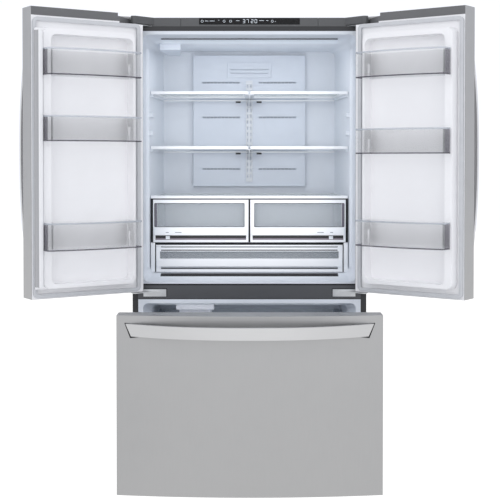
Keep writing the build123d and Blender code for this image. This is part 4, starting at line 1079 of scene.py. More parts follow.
    @staticmethod
    def join(name: str, pieces: Iterable[bpy.types.Object]) -> bpy.types.Object:
        """Joins pieces into one.

        Args:
            name: The joined piece's name.
            pieces: The pieces, the first of which keeps its slot.

        Returns:
            The joined piece.
        """
        pieces = list(pieces)
        Bench.clear()
        for piece in pieces:
            piece.select_set(True)
        bpy.context.view_layer.objects.active = pieces[0]
        if len(pieces) > 1:
            bpy.ops.object.join()
        pieces[0].name = pieces[0].data.name = name
        return pieces[0]


def round_node(node: bpy.types.Object, width: float) -> None:
    """Rounds the edges of a node with live modifiers, which leave its mesh as it is.

    Args:
        node: The node's object.
        width: Width of the rounding in metres.
    """
    Bench.modifier(node, "WELD", merge_threshold=WELD_GAP)
    Bench.modifier(node, "DECIMATE", decimate_type="DISSOLVE", angle_limit=FLAT_ANGLE)
    settings = {"limit_method": "ANGLE", "angle_limit": Bench.smooth, "harden_normals": True}
    Bench.modifier(node, "BEVEL", width=width, segments=2, **settings)
    Bench.modifier(node, "WEIGHTED_NORMAL", keep_sharp=True)


def corners(node: str) -> tuple[Vector, Vector]:
    """Returns the lowest and the highest corner of a node at rest."""
    low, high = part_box(node)
    return Vector(low), Vector(high)


class Mover:
    """Carries pieces from where they are drawn, closed, to where the frame stores them."""

    def __init__(self, frame: dict) -> None:
        self.joints = {joint["name"]: joint for joint in frame["joints"]}
        self.nodes: dict[str, bpy.types.Object] = frame["nodes"]

    def matrix(self, joint_name: str) -> Matrix:
        """Returns the motion from a joint's lowest value to its rest.

        Args:
            joint_name: The joint.

        Returns:
            The motion as a matrix.
        """
        joint = self.joints[joint_name]
        axis = Vector(joint["axis"])
        if joint["type"] == "slide":
            return Matrix.Translation(axis * -joint["range_m"][0])
        pivot = Vector(joint["pos_m"])
        turn = Matrix.Rotation(math.radians(-joint["range_deg"][0]), 4, axis)
        return Matrix.Translation(pivot) @ turn @ Matrix.Translation(-pivot)

    def store(self, piece: bpy.types.Object, joint_name: str, body: str) -> bpy.types.Object:
        """Moves a piece drawn closed to its stored place and lets it ride.

        Args:
            piece: The piece.
            joint_name: The joint whose lowest value is the closed place.
            body: The body that it rides on.

        Returns:
            The piece.
        """
        piece.data.transform(self.matrix(joint_name))
        piece.data.update()
        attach(piece, body)
        return piece

    def hang(self, piece: bpy.types.Object, side: Side, body: str) -> bpy.types.Object:
        """Hangs a piece, drawn on the closed left door, on either door.

        Args:
            piece: The piece.
            side: The door.
            body: The body that it rides on.

        Returns:
            The piece.
        """
        if side is Side.RIGHT:
            piece.data.transform(MIRROR)
            piece.data.flip_normals()
        return self.store(piece, f"{side.word}_door_hinge", body)

    def closed_box(self, side: Side | None, node: str) -> tuple[Vector, Vector]:
        """Returns a node's corners with its door or drawer closed, as if on the left door.

        Args:
            side: The door that the node is on, or None for the drawer.
            node: The node's name.

        Returns:
            Its lowest and highest corners.
        """
        joint = f"{side.word}_door_hinge" if side else "drawer_slide"
        back = self.matrix(joint).inverted()
        if side is Side.RIGHT:
            back = MIRROR @ back
        places = [back @ vertex.co for vertex in self.nodes[node].data.vertices]
        return Vector(map(min, zip(*places))), Vector(map(max, zip(*places)))


class Draft:
    """Outlines worked out from a few sizes."""

    @staticmethod
    def arc(centre: Flat, radius: float, start: float, end: float, steps: int = 5) -> list[Flat]:
        """Returns points along an arc from one angle to another, in degrees."""
        turns = (math.radians(start + (end - start) * k / steps) for k in range(steps + 1))
        return [(centre[0] + radius * math.cos(turn), centre[1] + radius * math.sin(turn)) for turn in turns]

    @staticmethod
    def ring(centre: Flat, radius: float, sides: int) -> list[Flat]:
        """Returns points round a circle."""
        return Draft.arc(centre, radius, 0.0, 360.0 - 360.0 / sides, sides - 1)

    @staticmethod
    def square(x0: float, x1: float, z0: float, z1: float) -> list[Flat]:
        """Returns a rectangle from its edges."""
        return [(x0, z0), (x1, z0), (x1, z1), (x0, z1)]

    @staticmethod
    def rounded(x0: float, x1: float, z0: float, z1: float, radius: float) -> list[Flat]:
        """Returns a rectangle with round corners.

        Args:
            x0: Its left edge.
            x1: Its right edge.
            z0: Its foot.
            z1: Its top.
            radius: Radius of its corners.

        Returns:
            Its points, from the middle of the right edge round to the left.
        """
        left, right, foot, top = x0 + radius, x1 - radius, z0 + radius, z1 - radius
        points: list[Flat] = []
        for quarter, centre in enumerate(((right, top), (left, top), (left, foot), (right, foot))):
            points += Draft.arc(centre, radius, 90.0 * quarter, 90.0 * quarter + 90.0)
        return points

    @staticmethod
    def stroke(x0: float, x1: float, z0: float, z1: float) -> list[Flat]:
        """Returns a bar with pointed ends along its longer side.

        Args:
            x0: Its left edge.
            x1: Its right edge.
            z0: Its foot.
            z1: Its top.

        Returns:
            Its six points.
        """
        if x1 - x0 < z1 - z0:
            return [(x, z) for z, x in Draft.stroke(z0, z1, x0, x1)]
        point, middle = (z1 - z0) / 2, (z0 + z1) / 2
        left, right = x0 + point, x1 - point
        return [(x0, middle), (left, z0), (right, z0), (x1, middle), (right, z1), (left, z1)]


# ---------------------------------------------------------------- sub-assemblies
@dataclass
class SubAssembly:
    """Pieces that are built together round the frame."""

    mover: Mover

    @staticmethod
    def fit(body: str, **groups: list[bpy.types.Object]) -> list[bpy.types.Object]:
        """Joins groups of parts into one piece each, and lets the pieces ride.

        Args:
            body: The body that they ride on.
            **groups: Name of a piece to its parts.

        Returns:
            The pieces.
        """
        pieces = []
        for name, parts in groups.items():
            piece = Bench.join(name, parts)
            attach(piece, body)
            pieces.append(piece)
        return pieces

    def build(self) -> list[bpy.types.Object]:
        """Builds the pieces and returns them."""
        raise NotImplementedError


@dataclass
class PanelMarks(SubAssembly):
    """Lit marks on the glass control panel: numbers, dashes and rings."""

    raised: float = 0.0003
    digit_height: float = 0.0130
    digit_width: float = 0.0078
    line: float = 0.0016
    ring_radius: float = 0.0042
    ring_line: float = 0.0012
    ring_sides: int = 24
    digits: tuple[tuple[float, str], ...] = ((-0.0215, "3"), (-0.0075, "7"), (0.0105, "2"), (0.0245, "0"))
    rings: tuple[float, ...] = (-0.182, -0.0975, -0.0725, 0.088)
    dashes: tuple[tuple[float, float, float], ...] = (
        (-0.172, -0.158, 0.0),
        (-0.154, -0.134, 0.0),
        (-0.1205, -0.116, 0.003),
        (-0.052, -0.038, 0.001),
        (0.037, 0.056, 0.0015),
        (0.064, 0.073, 0.0015),
        (0.098, 0.102, -0.002),
    )
    lit: tuple[tuple[str, str], ...] = (("3", "abgcd"), ("7", "abc"), ("2", "abged"), ("0", "abcdef"))

    def segments(self, x: float, z: float, digit: str) -> list[list[Flat]]:
        """Returns the outlines of a digit's bars.

        Args:
            x: Centre of the digit.
            z: Centre of the digit.
            digit: The digit.

        Returns:
            One outline for each bar.
        """
        half_w, half_h, half_l = self.digit_width / 2, self.digit_height / 2, self.line / 2
        bars = {
            "a": (x - half_w, x + half_w, z + half_h - half_l, z + half_h + half_l),
            "g": (x - half_w, x + half_w, z - half_l, z + half_l),
            "d": (x - half_w, x + half_w, z - half_h - half_l, z - half_h + half_l),
            "b": (x + half_w - half_l, x + half_w + half_l, z, z + half_h),
            "c": (x + half_w - half_l, x + half_w + half_l, z - half_h, z),
            "f": (x - half_w - half_l, x - half_w + half_l, z, z + half_h),
            "e": (x - half_w - half_l, x - half_w + half_l, z - half_h, z),
        }
        return [Draft.stroke(*bars[name]) for name in dict(self.lit)[digit]]

    def build(self) -> list[bpy.types.Object]:
        """Builds every mark as one piece.

        Returns:
            The piece.
        """
        low, high = corners("control_panel")
        face, middle = low.y, (low.z + high.z) / 2
        raised = face - self.raised
        outlines = [bar for x, digit in self.digits for bar in self.segments(x, middle, digit)]
        outlines += [Draft.stroke(x0, x1, middle + z, middle + z + self.line) for x0, x1, z in self.dashes]
        marks = [Bench.prism("mark", outline, face, raised, MARKS) for outline in outlines]
        for x in self.rings:
            loop = Draft.ring((x, middle), self.ring_radius, self.ring_sides)
            marks.append(Bench.ribbon("mark", loop, (face, raised), self.ring_line, MARKS, Axis.Y, True))
        return self.fit("cabinet", panel_marks=marks)


@dataclass
class Bellows(SubAssembly):
    """Folded magnetic seal round a door, as rows of (start, end, width) across its depth."""

    rows: tuple[Point, ...] = (
        (0.0, 0.26, 0.0130),
        (0.26, 0.42, 0.0070),
        (0.42, 0.60, 0.0115),
        (0.60, 0.72, 0.0070),
        (0.72, 1.0, 0.0140),
    )
    inset: float = 0.0072
    corner: float = 0.012
    clearance: float = 0.0004
    soft: float = 0.0008

    def rings(self, name: str, low: Vector, high: Vector) -> bpy.types.Object:
        """Builds the seal as a stack of rings.

        Args:
            name: The piece's name.
            low: Lowest corner of the closed seal.
            high: Its highest corner.

        Returns:
            The seal.
        """
        gap, deep = self.inset, high.y - low.y - self.clearance
        loop = Draft.rounded(low.x + gap, high.x - gap, low.z + gap, high.z - gap, self.corner)
        rings = []
        for start, end, width in self.rows:
            span = (low.y + deep * start, low.y + deep * end)
            rings.append(Bench.ribbon("row", loop, span, width, SEAL_GREY, Axis.Y, True))
        return Bench.soften(Bench.join(name, rings), self.soft)

    def build(self) -> list[bpy.types.Object]:
        """Builds the seals of the doors and of the drawer, in place of the frame's.

        Returns:
            The seals.
        """
        seals = []
        for side in Side:
            node = f"{side.word}_door_gasket"
            seal = self.rings(f"{side.word}_door_bellows", *self.mover.closed_box(side, node))
            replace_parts(self.mover.hang(seal, side, f"{side.word}_door"), node)
            seals.append(seal)
        seal = self.rings("drawer_bellows", *self.mover.closed_box(None, "drawer_gasket"))
        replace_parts(self.mover.store(seal, "drawer_slide", "freezer_drawer"), "drawer_gasket")
        return [*seals, seal]


@dataclass
class BinTrim(SubAssembly):
    """Thick rim, foot bead and end wall of one clear door bin; the foot bead and the end wall are dark as
    painted shade.
    """

    side: Side
    level: str
    wall: float = 0.0026
    bow: float = 0.018
    bow_runs: int = 10
    corner: float = 0.014
    neck: float = 0.052
    rim: float = 0.0055
    foot: float = 0.0042
    bead: float = 0.0040
    over: float = 0.0006
    under: float = 0.0004
    soft: float = 0.0006

    def path(self, low: Vector, high: Vector) -> list[Flat]:
        """Returns the line along the middle of the bin's wall, in plan.

        Args:
            low: Lowest corner of the closed bin.
            high: Its highest corner.

        Returns:
            The points, from the hinge side round the front to the free end.
        """
        half, r, runs = self.wall / 2, self.corner, self.bow_runs
        x0, x1 = low.x + half, high.x - half
        back, front = low.y + self.neck, high.y - self.bow - half
        centre, reach = (x0 + x1) / 2, (x1 - x0) / 2 - r
        crown = []
        for k in range(1 - runs, runs):
            crown.append((centre + reach * k / runs, front + self.bow * (1 - (k / runs) ** 2)))
        near = Draft.arc((x0 + r, front - r), r, 180.0, 90.0)
        far = Draft.arc((x1 - r, front - r), r, 90.0, 0.0)
        return [(x0, back), *near, *crown, *far, (x1, back)]

    def build(self) -> list[bpy.types.Object]:
        """Builds the bin's rim, foot and end, and hangs them on its door.

        Returns:
            The three pieces.
        """
        low, high = self.mover.closed_box(self.side, f"{self.side.word}_bin_{self.level}")
        path = self.path(low, high)
        x, y0, y1 = path[-1][0], path[-1][1], path[-2][1]
        end_wall = [(x, y0), (x, (y0 + y1) / 2), (x, y1)]
        foot_top, rim_foot = low.z + self.foot, high.z - self.rim
        # The foot and the end are dark as painted shade; the rim is pale.
        rows = (
            ("rim", path, (rim_foot, high.z + self.over), BIN_RIM),
            ("foot", path, (low.z - self.under, foot_top), BIN_FOOT_SHADE),
            ("end", end_wall, (foot_top, rim_foot), BIN_END_SHADE),
        )
        body = f"{self.side.word}_{self.level}_bin"
        pieces = []
        for part, line, span, finish in rows:
            piece = Bench.ribbon(f"{body}_{part}", line, span, self.bead, finish, Axis.Z)
            pieces.append(self.mover.hang(Bench.soften(piece, self.soft), self.side, body))
        return pieces


@dataclass
class CrisperTrim(SubAssembly):
    """Window outlines, dark end panes and vent marks on the fronts of the two crispers, all painted shade."""

    window_side: float = 0.016
    window_end: float = 0.0055
    window_foot: float = 0.061
    window_top: float = 0.014
    window_corner: float = 0.003
    line: float = 0.0016
    recess: float = 0.008
    proud: float = 0.0006
    sink: float = 0.003
    pane_proud: float = 0.0004
    pane_sink: float = 0.001
    pane_soft: float = 0.0002
    vents: tuple[Flat, ...] = ((0.320, 0.333), (0.269, 0.296))
    vent_z: float = 0.038
    vent_tall: float = 0.0026
    vent_proud: float = 0.0003

    def build(self) -> list[bpy.types.Object]:
        """Builds the trim of both crispers.

        Returns:
            The pieces.
        """
        pieces = []
        for side in Side:
            stem = f"crisper_{side.word}"
            low, high = corners(f"{stem}_front")
            near, far = sorted((abs(low.x), abs(high.x)))
            face, foot = low.y + self.recess, low.z + self.vent_z
            z0, z1 = low.z + self.window_foot, high.z - self.window_top
            window = (*side.span(near + self.window_side, far - self.window_end), z0, z1)
            post = (*side.span(far - self.window_side, far - self.window_end), z0, z1)
            # Painted shade: a black line round each window, where the window's edge is in shade.
            loop = Draft.rounded(*window, self.window_corner)
            span = (face - self.proud, face + self.sink)
            line = Bench.ribbon("line", loop, span, self.line, PAINTED_GAP_SHADE, Axis.Y, True)
            # Painted shade: a dark pane over the window's outer end.
            span = (face - self.pane_proud, face + self.pane_sink)
            pane = Bench.prism("pane", Draft.square(*post), *span, CRISPER_END_SHADE)
            # Painted shade: grey marks standing for the vent slots.
            marks = []
            for start, end in self.vents:
                bar = Draft.stroke(*side.span(start, end), foot, foot + self.vent_tall)
                marks.append(Bench.prism("vent", bar, low.y, low.y - self.vent_proud, VENT_SHADE_GREY))
            Bench.soften(pane, self.pane_soft)
            groups = {f"{stem}_window_line": [line], f"{stem}_end_pane": [pane], f"{stem}_vent_marks": marks}
            pieces += self.fit(f"{side.word}_crisper", **groups)
        return pieces


@dataclass
class PantryTrim(SubAssembly):
    """Dark lines of painted shade over the window of the pantry drawer."""

    half: float = 0.352
    lines: tuple[Flat, ...] = ((0.0850, 0.0888), (0.0980, 0.1018))
    recess: float = 0.007
    proud: float = 0.0005
    sink: float = 0.001

    def build(self) -> list[bpy.types.Object]:
        """Builds the lines as one piece.

        Returns:
            The piece.
        """
        low, _ = corners("pantry_front")
        face = low.y + self.recess
        bars = []
        for z0, z1 in self.lines:
            bar = Draft.stroke(-self.half, self.half, low.z + z0, low.z + z1)
            # Painted shade: black lines between the rims over the window.
            bars.append(Bench.prism("line", bar, face + self.sink, face - self.proud, PAINTED_GAP_SHADE))
        return self.fit("pantry", pantry_rim_lines=bars)


@dataclass
class RoomSeals(SubAssembly):
    """Dark bars of painted shade, and white guides, in the gaps round the crispers and the pantry drawer."""

    gap: float = 0.0012
    side_wide: float = 0.0078
    top_tall: float = 0.0042
    top_gap: float = 0.0005
    middle_half: float = 0.003
    recess: float = 0.008
    front: float = 0.006
    deep: float = 0.005
    drop: float = 0.001
    pantry_gap: float = 0.001
    pantry_line: float = 0.0034
    pantry_reach: float = 0.004
    sill: float = 0.002
    sill_deep: float = 0.003
    guide_gap: float = 0.0046
    guide_reach: float = 0.006
    foot: tuple[Flat, ...] = ((0.0680, 0.76502), (0.0880, 0.76938), (0.1060, 0.77330))
    foot_half: float = 0.350
    foot_thick: float = 0.0006
    soft: float = 0.0004

    def slab(self, across: Flat, upright: Flat, along: Flat, finish: Finish = PAINTED_GAP_SHADE) -> bpy.types.Object:
        """Builds one bar from where it starts and ends along X, Z and Y, its edges rounded."""
        bar = Bench.prism("seal", Draft.square(*across, *upright), *along, finish)
        return Bench.soften(bar, self.soft)

    def build(self) -> list[bpy.types.Object]:
        """Builds the bars of painted shade as one piece on the cabinet, and the guides as another.

        Returns:
            The two pieces.
        """
        low, _ = corners("crisper_left_front")
        _, high = corners("crisper_right_front")
        pantry_low, pantry_high = corners("pantry_front")
        y0 = low.y + self.recess + self.front
        y1 = y0 + self.deep
        foot, top = low.z - self.drop, high.z + self.top_gap
        crown, sill = top + self.top_tall, y1 + self.sill
        edge = high.x + self.gap
        outer, pantry = edge + self.side_wide, pantry_high.x + self.pantry_gap
        under = (foot - self.sill, pantry_high.z + self.pantry_gap)
        seals = [
            self.slab((-edge, edge), (top, crown), (y0, y1)),
            self.slab((-self.middle_half, self.middle_half), (foot, high.z), (y0, y1)),
            self.slab((-edge, edge), under, (sill, sill + self.sill_deep)),
        ]
        guides = []
        for side in Side:
            seals.append(self.slab(side.span(edge, outer), (foot, crown), (y0, y1)))
            line = side.span(pantry, pantry + self.pantry_line)
            seals.append(self.slab(line, (pantry_low.z, pantry_high.z), (y0 - self.pantry_reach, y1)))
            guide = side.span(pantry_high.x + self.guide_gap, outer)
            upright, along = (pantry_low.z, foot - self.drop), (y0 - self.guide_reach, y1)
            guides.append(self.slab(guide, upright, along, TRIM_WHITE))
        # Painted shadow: a thin black strip on the floor under the front of the pantry drawer.
        span = (-self.foot_half, self.foot_half)
        seals.append(Bench.ribbon("seal", self.foot, span, self.foot_thick, PAINTED_GAP_SHADE, Axis.X))
        return self.fit("cabinet", drawer_gap_seals=seals, pantry_side_guides=guides)


@dataclass
class ShelfBars(SubAssembly):
    """Bar under the back of each pair of shelves, with its two black clips."""

    frame: float = 0.011
    drop: float = 0.013
    height: float = 0.006
    deep: float = 0.006
    half: float = 0.362
    soft: float = 0.0012
    clips: tuple[float, ...] = (-0.047, 0.042)
    clip: Point = (0.021, 0.004, 0.007)
    clip_rim: float = 0.0012
    clip_sink: float = 0.001
    clip_soft: float = 0.0006

    def build(self) -> list[bpy.types.Object]:
        """Builds the bars as one piece and the clips as another.

        Returns:
            The two pieces.
        """
        low, high = corners("shelf_frames")
        front = high.y - self.deep
        width, deep, tall = self.clip
        bars, clips = [], []
        for top in (high.z, low.z + self.frame):
            foot = top - self.drop - self.frame
            near, far = (-self.half, front, foot), (self.half, high.y, foot + self.height)
            bars.append(Bench.soften(Bench.block("bar", near, far, TRIM_WHITE), self.soft))
            for x in self.clips:
                near = (x - width / 2, front - deep, foot - tall)
                clip = Bench.block("clip", near, (near[0] + width, near[1] + deep, foot), CLIP_BLACK)
                clip = Bench.hollow(clip, FORWARD, self.clip_rim, self.clip_sink)
                clips.append(Bench.soften(clip, self.clip_soft))
        return self.fit("cabinet", shelf_back_bars=bars, shelf_clips=clips)


@dataclass
class DuctPorts(SubAssembly):
    """Grey backs of painted shade, and fins, in the air ports of the duct."""

    inner: float = 0.0412
    outer: float = 0.1988
    tall: float = 0.0066
    corner: float = 0.002
    rise: float = 0.0002
    crown: float = 0.016
    skin: float = 0.025
    back: Flat = (0.0100, 0.0107)
    drops: tuple[float, ...] = (0.120, 0.268, 0.488)
    fins: int = 9
    fin_half: float = 0.0005
    fin: Flat = (0.002, 0.010)

    def build(self) -> list[bpy.types.Object]:
        """Builds the painted shade backs of all six ports as one piece and their fins as another.

        Returns:
            The two pieces.
        """
        _, high = corners("air_duct")
        top, front = high.z - self.crown, high.y - self.skin
        back_y, fin_y = ([front + y for y in pair] for pair in (self.back, self.fin))
        shade_backs, fins = [], []
        for drop in self.drops:
            z0 = top - drop + self.rise
            z1 = z0 + self.tall
            for side in Side:
                x0, x1 = side.span(self.inner, self.outer)
                # Painted shade: a grey back deep in each port.
                back = Draft.rounded(x0, x1, z0, z1, self.corner)
                shade_backs.append(Bench.prism("back", back, *back_y, PORT_SHADE_GREY))
                pitch = (x1 - x0) / (self.fins + 1)
                near = (x0 + pitch - self.fin_half, fin_y[0], z0)
                far = (x0 + pitch + self.fin_half, fin_y[1], z1)
                fin = Bench.block("fin", near, far, TRIM_WHITE)
                fins.append(Bench.copies(fin, [(pitch * k, 0.0, 0.0) for k in range(1, self.fins)]))
        return self.fit("cabinet", duct_port_backs=shade_backs, duct_port_fins=fins)


@dataclass
class LampTrim(SubAssembly):
    """Shadow gap along the front edge of the light lens."""

    deep: float = 0.0008
    lap: float = 0.0002
    drop: float = 0.0045
    rise: float = 0.0008

    def build(self) -> list[bpy.types.Object]:
        """Builds the gap's dark strip.

        Returns:
            The strip.
        """
        low, high = corners("light_lens")
        outline = Draft.stroke(low.x, high.x, high.z - self.drop, high.z - self.rise)
        strip = Bench.prism("strip", outline, low.y - self.deep, low.y + self.lap, PAINTED_GAP_SHADE)
        return self.fit("cabinet", lens_gap=[strip])


@dataclass
class RailTrim(SubAssembly):
    """Dark lines of painted shade in the gaps along the rail between the rooms and round the hinge plates."""

    margin: float = 0.002
    line: float = 0.0045
    lap: float = 0.0014
    foot_line: Flat = (0.0004, 0.0024)
    sink: float = 0.0004
    proud: float = 0.0002
    plate: Flat = (0.322, 0.410)
    plate_edge: float = 0.0030
    plate_lip: float = 0.0010
    plate_foot: float = 0.011
    plate_drop: float = 0.020

    def build(self) -> list[bpy.types.Object]:
        """Builds the painted shade lines, those round the plates too, as one piece.

        Returns:
            The piece.
        """
        low, high = corners("mid_rail")
        x0, x1 = low.x + self.margin, high.x - self.margin
        room_top = corners("fridge_liner")[1].z
        spans = [
            (x0, x1, high.z - self.line, high.z + self.lap),
            (x0, x1, low.z + self.foot_line[0], low.z + self.foot_line[1]),
            (x0, x1, room_top, room_top + 2.0 * self.lap),
        ]
        foot, top = low.z + self.plate_foot - self.plate_lip, high.z - self.plate_drop + self.plate_edge
        for side in Side:
            spans.append((*side.span(self.plate[0] - self.plate_edge, self.plate[1]), foot, top))
        along = (low.y + self.sink, low.y - self.proud)
        # Painted shade: the lines are black where the gaps are in shade.
        bars = [Bench.prism("line", Draft.square(*span), *along, PAINTED_GAP_SHADE) for span in spans]
        return self.fit("cabinet", rail_gap_lines=bars)


@dataclass
class PullPads(SubAssembly):
    """Dark pads between the two ends of the drawer's handle and the door, black as painted shade in the gap
    there.
    """

    skin_edge: float = -0.088
    start: float = 0.300
    end: float = 0.4255
    slant: float = 0.0195
    rise: float = 0.0012
    fall: float = 0.0085
    drop: float = 0.0080
    drop_start: float = 0.375
    stand: float = 0.0022
    steps: int = 8

    def pad(self, side: Side, skin: tuple[Vector, Vector], low: float, high: float) -> bpy.types.Object:
        """Builds the pad behind one end of the handle, wider towards the end.

        Args:
            side: The end.
            skin: Corners of the closed drawer's skin.
            low: Height of the handle's lower edge.
            high: Height of its upper edge.

        Returns:
            The pad.
        """
        bulge, reach, length = self.skin_edge - skin[0].y, skin[1].x, self.end - self.start
        path = []
        for k in range(self.steps + 1):
            x = self.start + length * k / self.steps
            path.append((side.value * x, skin[0].y + bulge * (x / reach) ** 2 - self.stand))
        # Painted shade: the pad is black for the shade in the gap behind the handle's end.
        pad = Bench.ribbon("pad", path, (low, high), 2.0 * self.stand, PAINTED_GAP_SHADE, Axis.Z)
        for vertex in pad.data.vertices:
            share = (abs(vertex.co.x) - self.start) / length
            if vertex.co.z > (low + high) / 2:
                vertex.co.z = high + self.rise - self.fall * (1.0 - share)
                continue
            lower = max(0.0, (share - self.drop_start) / (1.0 - self.drop_start))
            vertex.co.z = low - self.drop * lower
            x = vertex.co.x - side.value * self.slant * share
            vertex.co.y += bulge * (x**2 - vertex.co.x**2) / reach**2
            vertex.co.x = x
        return pad

    def build(self) -> list[bpy.types.Object]:
        """Builds a pad at both ends, as one piece.

        Returns:
            The piece.
        """
        low, high = self.mover.closed_box(None, "drawer_handle")
        skin = self.mover.closed_box(None, "drawer_skin")
        pads = Bench.join("drawer_handle_pads", [self.pad(side, skin, low.z, high.z) for side in Side])
        return [self.mover.store(pads, "drawer_slide", "freezer_drawer")]


@dataclass
class RearTrim(SubAssembly):
    """Screws, pressed beads and wiring cover of the rear panel."""

    edge: float = 0.010
    head: float = 0.0046
    head_sides: int = 20
    stand: float = 0.0026
    slot_rim: float = 0.45
    slot_sink: float = 0.001
    screw_soft: float = 0.0004
    rows: int = 8
    columns: int = 4
    bead_x: tuple[float, ...] = (-0.250, 0.0, 0.250)
    bead_half: float = 0.013
    bead_corner: float = 0.0125
    bead_margin: float = 0.11
    bead_sink: float = 0.001
    bead_rise: float = 0.0014
    bead_soft: float = 0.0010
    cover: tuple[Point, Point] = ((0.150, 0.0, 0.018), (0.330, 0.0055, 0.088))
    cover_rim: float = 0.008
    cover_sink: float = 0.0012
    cover_soft: float = 0.0012

    def screws(self, low: Vector, high: Vector) -> bpy.types.Object:
        """Builds the screws round the panel's edge.

        Args:
            low: The panel's lowest corner.
            high: Its highest corner.

        Returns:
            The screws as one piece.
        """
        start = Vector((low.x + self.edge, high.y, low.z + self.edge))
        screw = Bench.disc("screw", start, BACKWARD * self.stand, self.head, self.head_sides, ZINC)
        screw = Bench.hollow(screw, BACKWARD, self.head * self.slot_rim, self.slot_sink)
        wide, tall = high.x - low.x - 2 * self.edge, high.z - low.z - 2 * self.edge
        steps = [(x, 0.0, tall * k / self.rows) for x in (0.0, wide) for k in range(self.rows + 1)]
        steps += [(wide * k / self.columns, 0.0, z) for z in (0.0, tall) for k in range(1, self.columns)]
        return Bench.copies(Bench.soften(screw, self.screw_soft), steps[1:])

    def beads(self, low: Vector, high: Vector) -> list[bpy.types.Object]:
        """Builds the panel's pressed beads.

        Args:
            low: The panel's lowest corner.
            high: Its highest corner.

        Returns:
            The beads one by one.
        """
        upright = (low.z + self.bead_margin, high.z - self.bead_margin)
        along = (high.y - self.bead_sink, high.y + self.bead_rise)
        beads = []
        for x in self.bead_x:
            outline = Draft.rounded(x - self.bead_half, x + self.bead_half, *upright, self.bead_corner)
            bead = Bench.prism("bead", outline, *along, REAR_SHEET)
            beads.append(Bench.soften(bead, self.bead_soft))
        return beads

    def cover_box(self, low: Vector, high: Vector) -> bpy.types.Object:
        """Builds the cover over the wiring.

        Args:
            low: The panel's lowest corner.
            high: Its highest corner.

        Returns:
            The cover.
        """
        near, far = (Vector(corner) + Vector((0.0, high.y, low.z)) for corner in self.cover)
        cover = Bench.block("cover", near, far, DARK)
        cover = Bench.hollow(cover, BACKWARD, self.cover_rim, self.cover_sink)
        return Bench.soften(cover, self.cover_soft, 3)

    def build(self) -> list[bpy.types.Object]:
        """Builds the trim.

        Returns:
            The three pieces.
        """
        low, high = corners("rear_panel")
        screws, beads, cover = self.screws(low, high), self.beads(low, high), self.cover_box(low, high)
        return self.fit("cabinet", rear_screws=[screws], rear_panel_beads=beads, wiring_cover=[cover])


# ------------------------------------------------------------------------ studio
@dataclass(frozen=True)
class Lamp:
    """One soft rectangular lamp, which faces a target."""

    name: str
    place: Point
    target: Point
    size: Flat
    watts: float

    def hang(self) -> None:
        """Adds the lamp to the scene."""
        data = bpy.data.lights.new(self.name, "AREA")
        data.shape, data.energy = "RECTANGLE", self.watts
        data.size, data.size_y = self.size
        lamp = bpy.data.objects.new(self.name, data)
        bpy.context.scene.collection.objects.link(lamp)
        lamp.location = self.place
        lamp.rotation_euler = (Vector(self.target) - lamp.location).to_track_quat("-Z", "Y").to_euler()


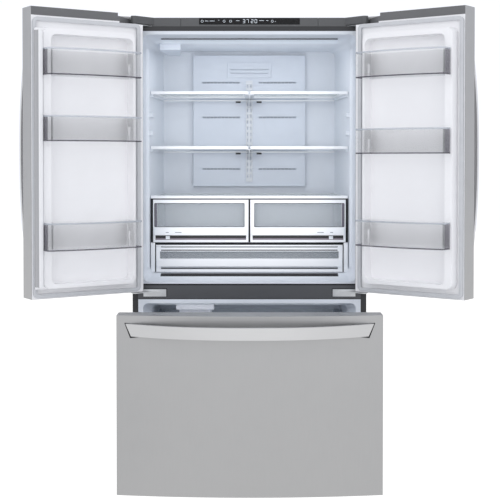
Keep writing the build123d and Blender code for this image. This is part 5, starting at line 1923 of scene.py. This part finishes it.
@dataclass
class Studio:
    """Floor, world, lamps and camera."""

    eye: Point = (-0.0094, -4.307, 1.2221)
    tilt: float = 1.146
    lens: float = 80.29
    film: float = 36.0
    shift: Flat = (0.00596, -0.1354)
    clip: Flat = (0.1, 100.0)
    floor_size: float = 30.0
    floor_drop: float = 0.0005
    floor_tone: float = 0.9
    floor_rough: float = 0.6
    floor_glow: float = 1.2
    floor_white: float = 1.15
    sky: Colour = (0.93, 0.95, 1.0)
    ambient: float = 0.92
    white: float = 1.08
    lamps: tuple[Lamp, ...] = (
        Lamp("key", (-2.2, -4.2, 3.4), (0.0, 0.0, 0.9), (3.0, 2.2), 18.0),
        Lamp("fill", (2.8, -4.0, 2.2), (0.0, 0.0, 0.8), (2.6, 2.6), 8.0),
        Lamp("front", (0.0, -5.0, 1.3), (0.0, 0.2, 1.1), (4.6, 3.2), 13.0),
        Lamp("room_glow", (0.0, 0.12, 1.66), (0.0, 0.30, 1.0), (0.6, 0.05), 0.35),
        Lamp("room_wash", (0.0, 0.05, 1.32), (0.0, 0.60, 1.30), (0.70, 0.72), 0.7),
        Lamp("drawer_wash", (0.0, 0.05, 0.92), (0.0, 0.45, 0.84), (0.66, 0.26), 0.17),
        Lamp("freezer_wash", (0.0, 0.03, 0.655), (0.0, 0.40, 0.640), (0.70, 0.04), 0.12),
    )

    def build(self) -> None:
        """Builds the whole studio."""
        self.build_floor()
        Sky(self.sky, self.ambient, self.white)
        for lamp in self.lamps:
            lamp.hang()
        self.build_camera()
        bpy.context.scene.view_settings.view_transform = "Standard"

    def build_floor(self) -> None:
        """Makes the floor, white to the camera and to reflections."""
        Bench.clear()
        bpy.ops.mesh.primitive_plane_add(size=self.floor_size, location=(0.0, 0.0, -self.floor_drop))
        floor = bpy.context.active_object
        floor.name = "floor"
        surface = Surface("floor_white")
        surface.shade(Base_Color=(self.floor_tone,) * 3, Roughness=self.floor_rough)
        surface.seen_white(self.floor_white, self.floor_glow)
        floor.data.materials.append(surface.material)

    def build_camera(self) -> None:
        """Sets the camera at the viewing angle."""
        data = bpy.data.cameras.new("camera")
        camera = bpy.data.objects.new("camera", data)
        bpy.context.scene.collection.objects.link(camera)
        camera.location = self.eye
        camera.rotation_euler = (math.radians(90.0 - self.tilt), 0.0, 0.0)
        data.sensor_width, data.lens = self.film, self.lens
        data.shift_x, data.shift_y = self.shift
        data.clip_start, data.clip_end = self.clip
        bpy.context.scene.camera = camera


# -------------------------------------------------------------------------- main
def dress_nodes(nodes: dict[str, bpy.types.Object]) -> None:
    """Gives every node its finish.

    Args:
        nodes: The frame's nodes.
    """
    finishes = dict(NODE_FINISHES)
    for side in Side:
        for part, finish in DOOR_FINISHES.items():
            finishes[f"{side.word}_{part}"] = finish
    for name, node in nodes.items():
        finish = finishes[name]
        node.data.materials.clear()
        node.data.materials.append(finish.material())
        round_node(node, NODE_ROUNDING.get(name, ROUNDING))
        log.info("node %s: %s", name, finish.name)


def main() -> None:
    """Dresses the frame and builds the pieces."""
    logging.basicConfig(level=logging.INFO, format="%(message)s")
    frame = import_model()
    dress_nodes(frame["nodes"])
    mover = Mover(frame)
    parts: list[SubAssembly] = [PanelMarks(mover), Bellows(mover)]
    parts += [BinTrim(mover, side, level) for side in Side for level in BIN_LEVELS]
    trims = (CrisperTrim, PantryTrim, RoomSeals, ShelfBars, DuctPorts, LampTrim, RailTrim, PullPads, RearTrim)
    parts += [trim(mover) for trim in trims]
    for part in parts:
        for piece in part.build():
            log.info("piece %s: %s", piece.name, type(part).__name__)
    Studio().build()


if __name__ == "__main__":
    main()
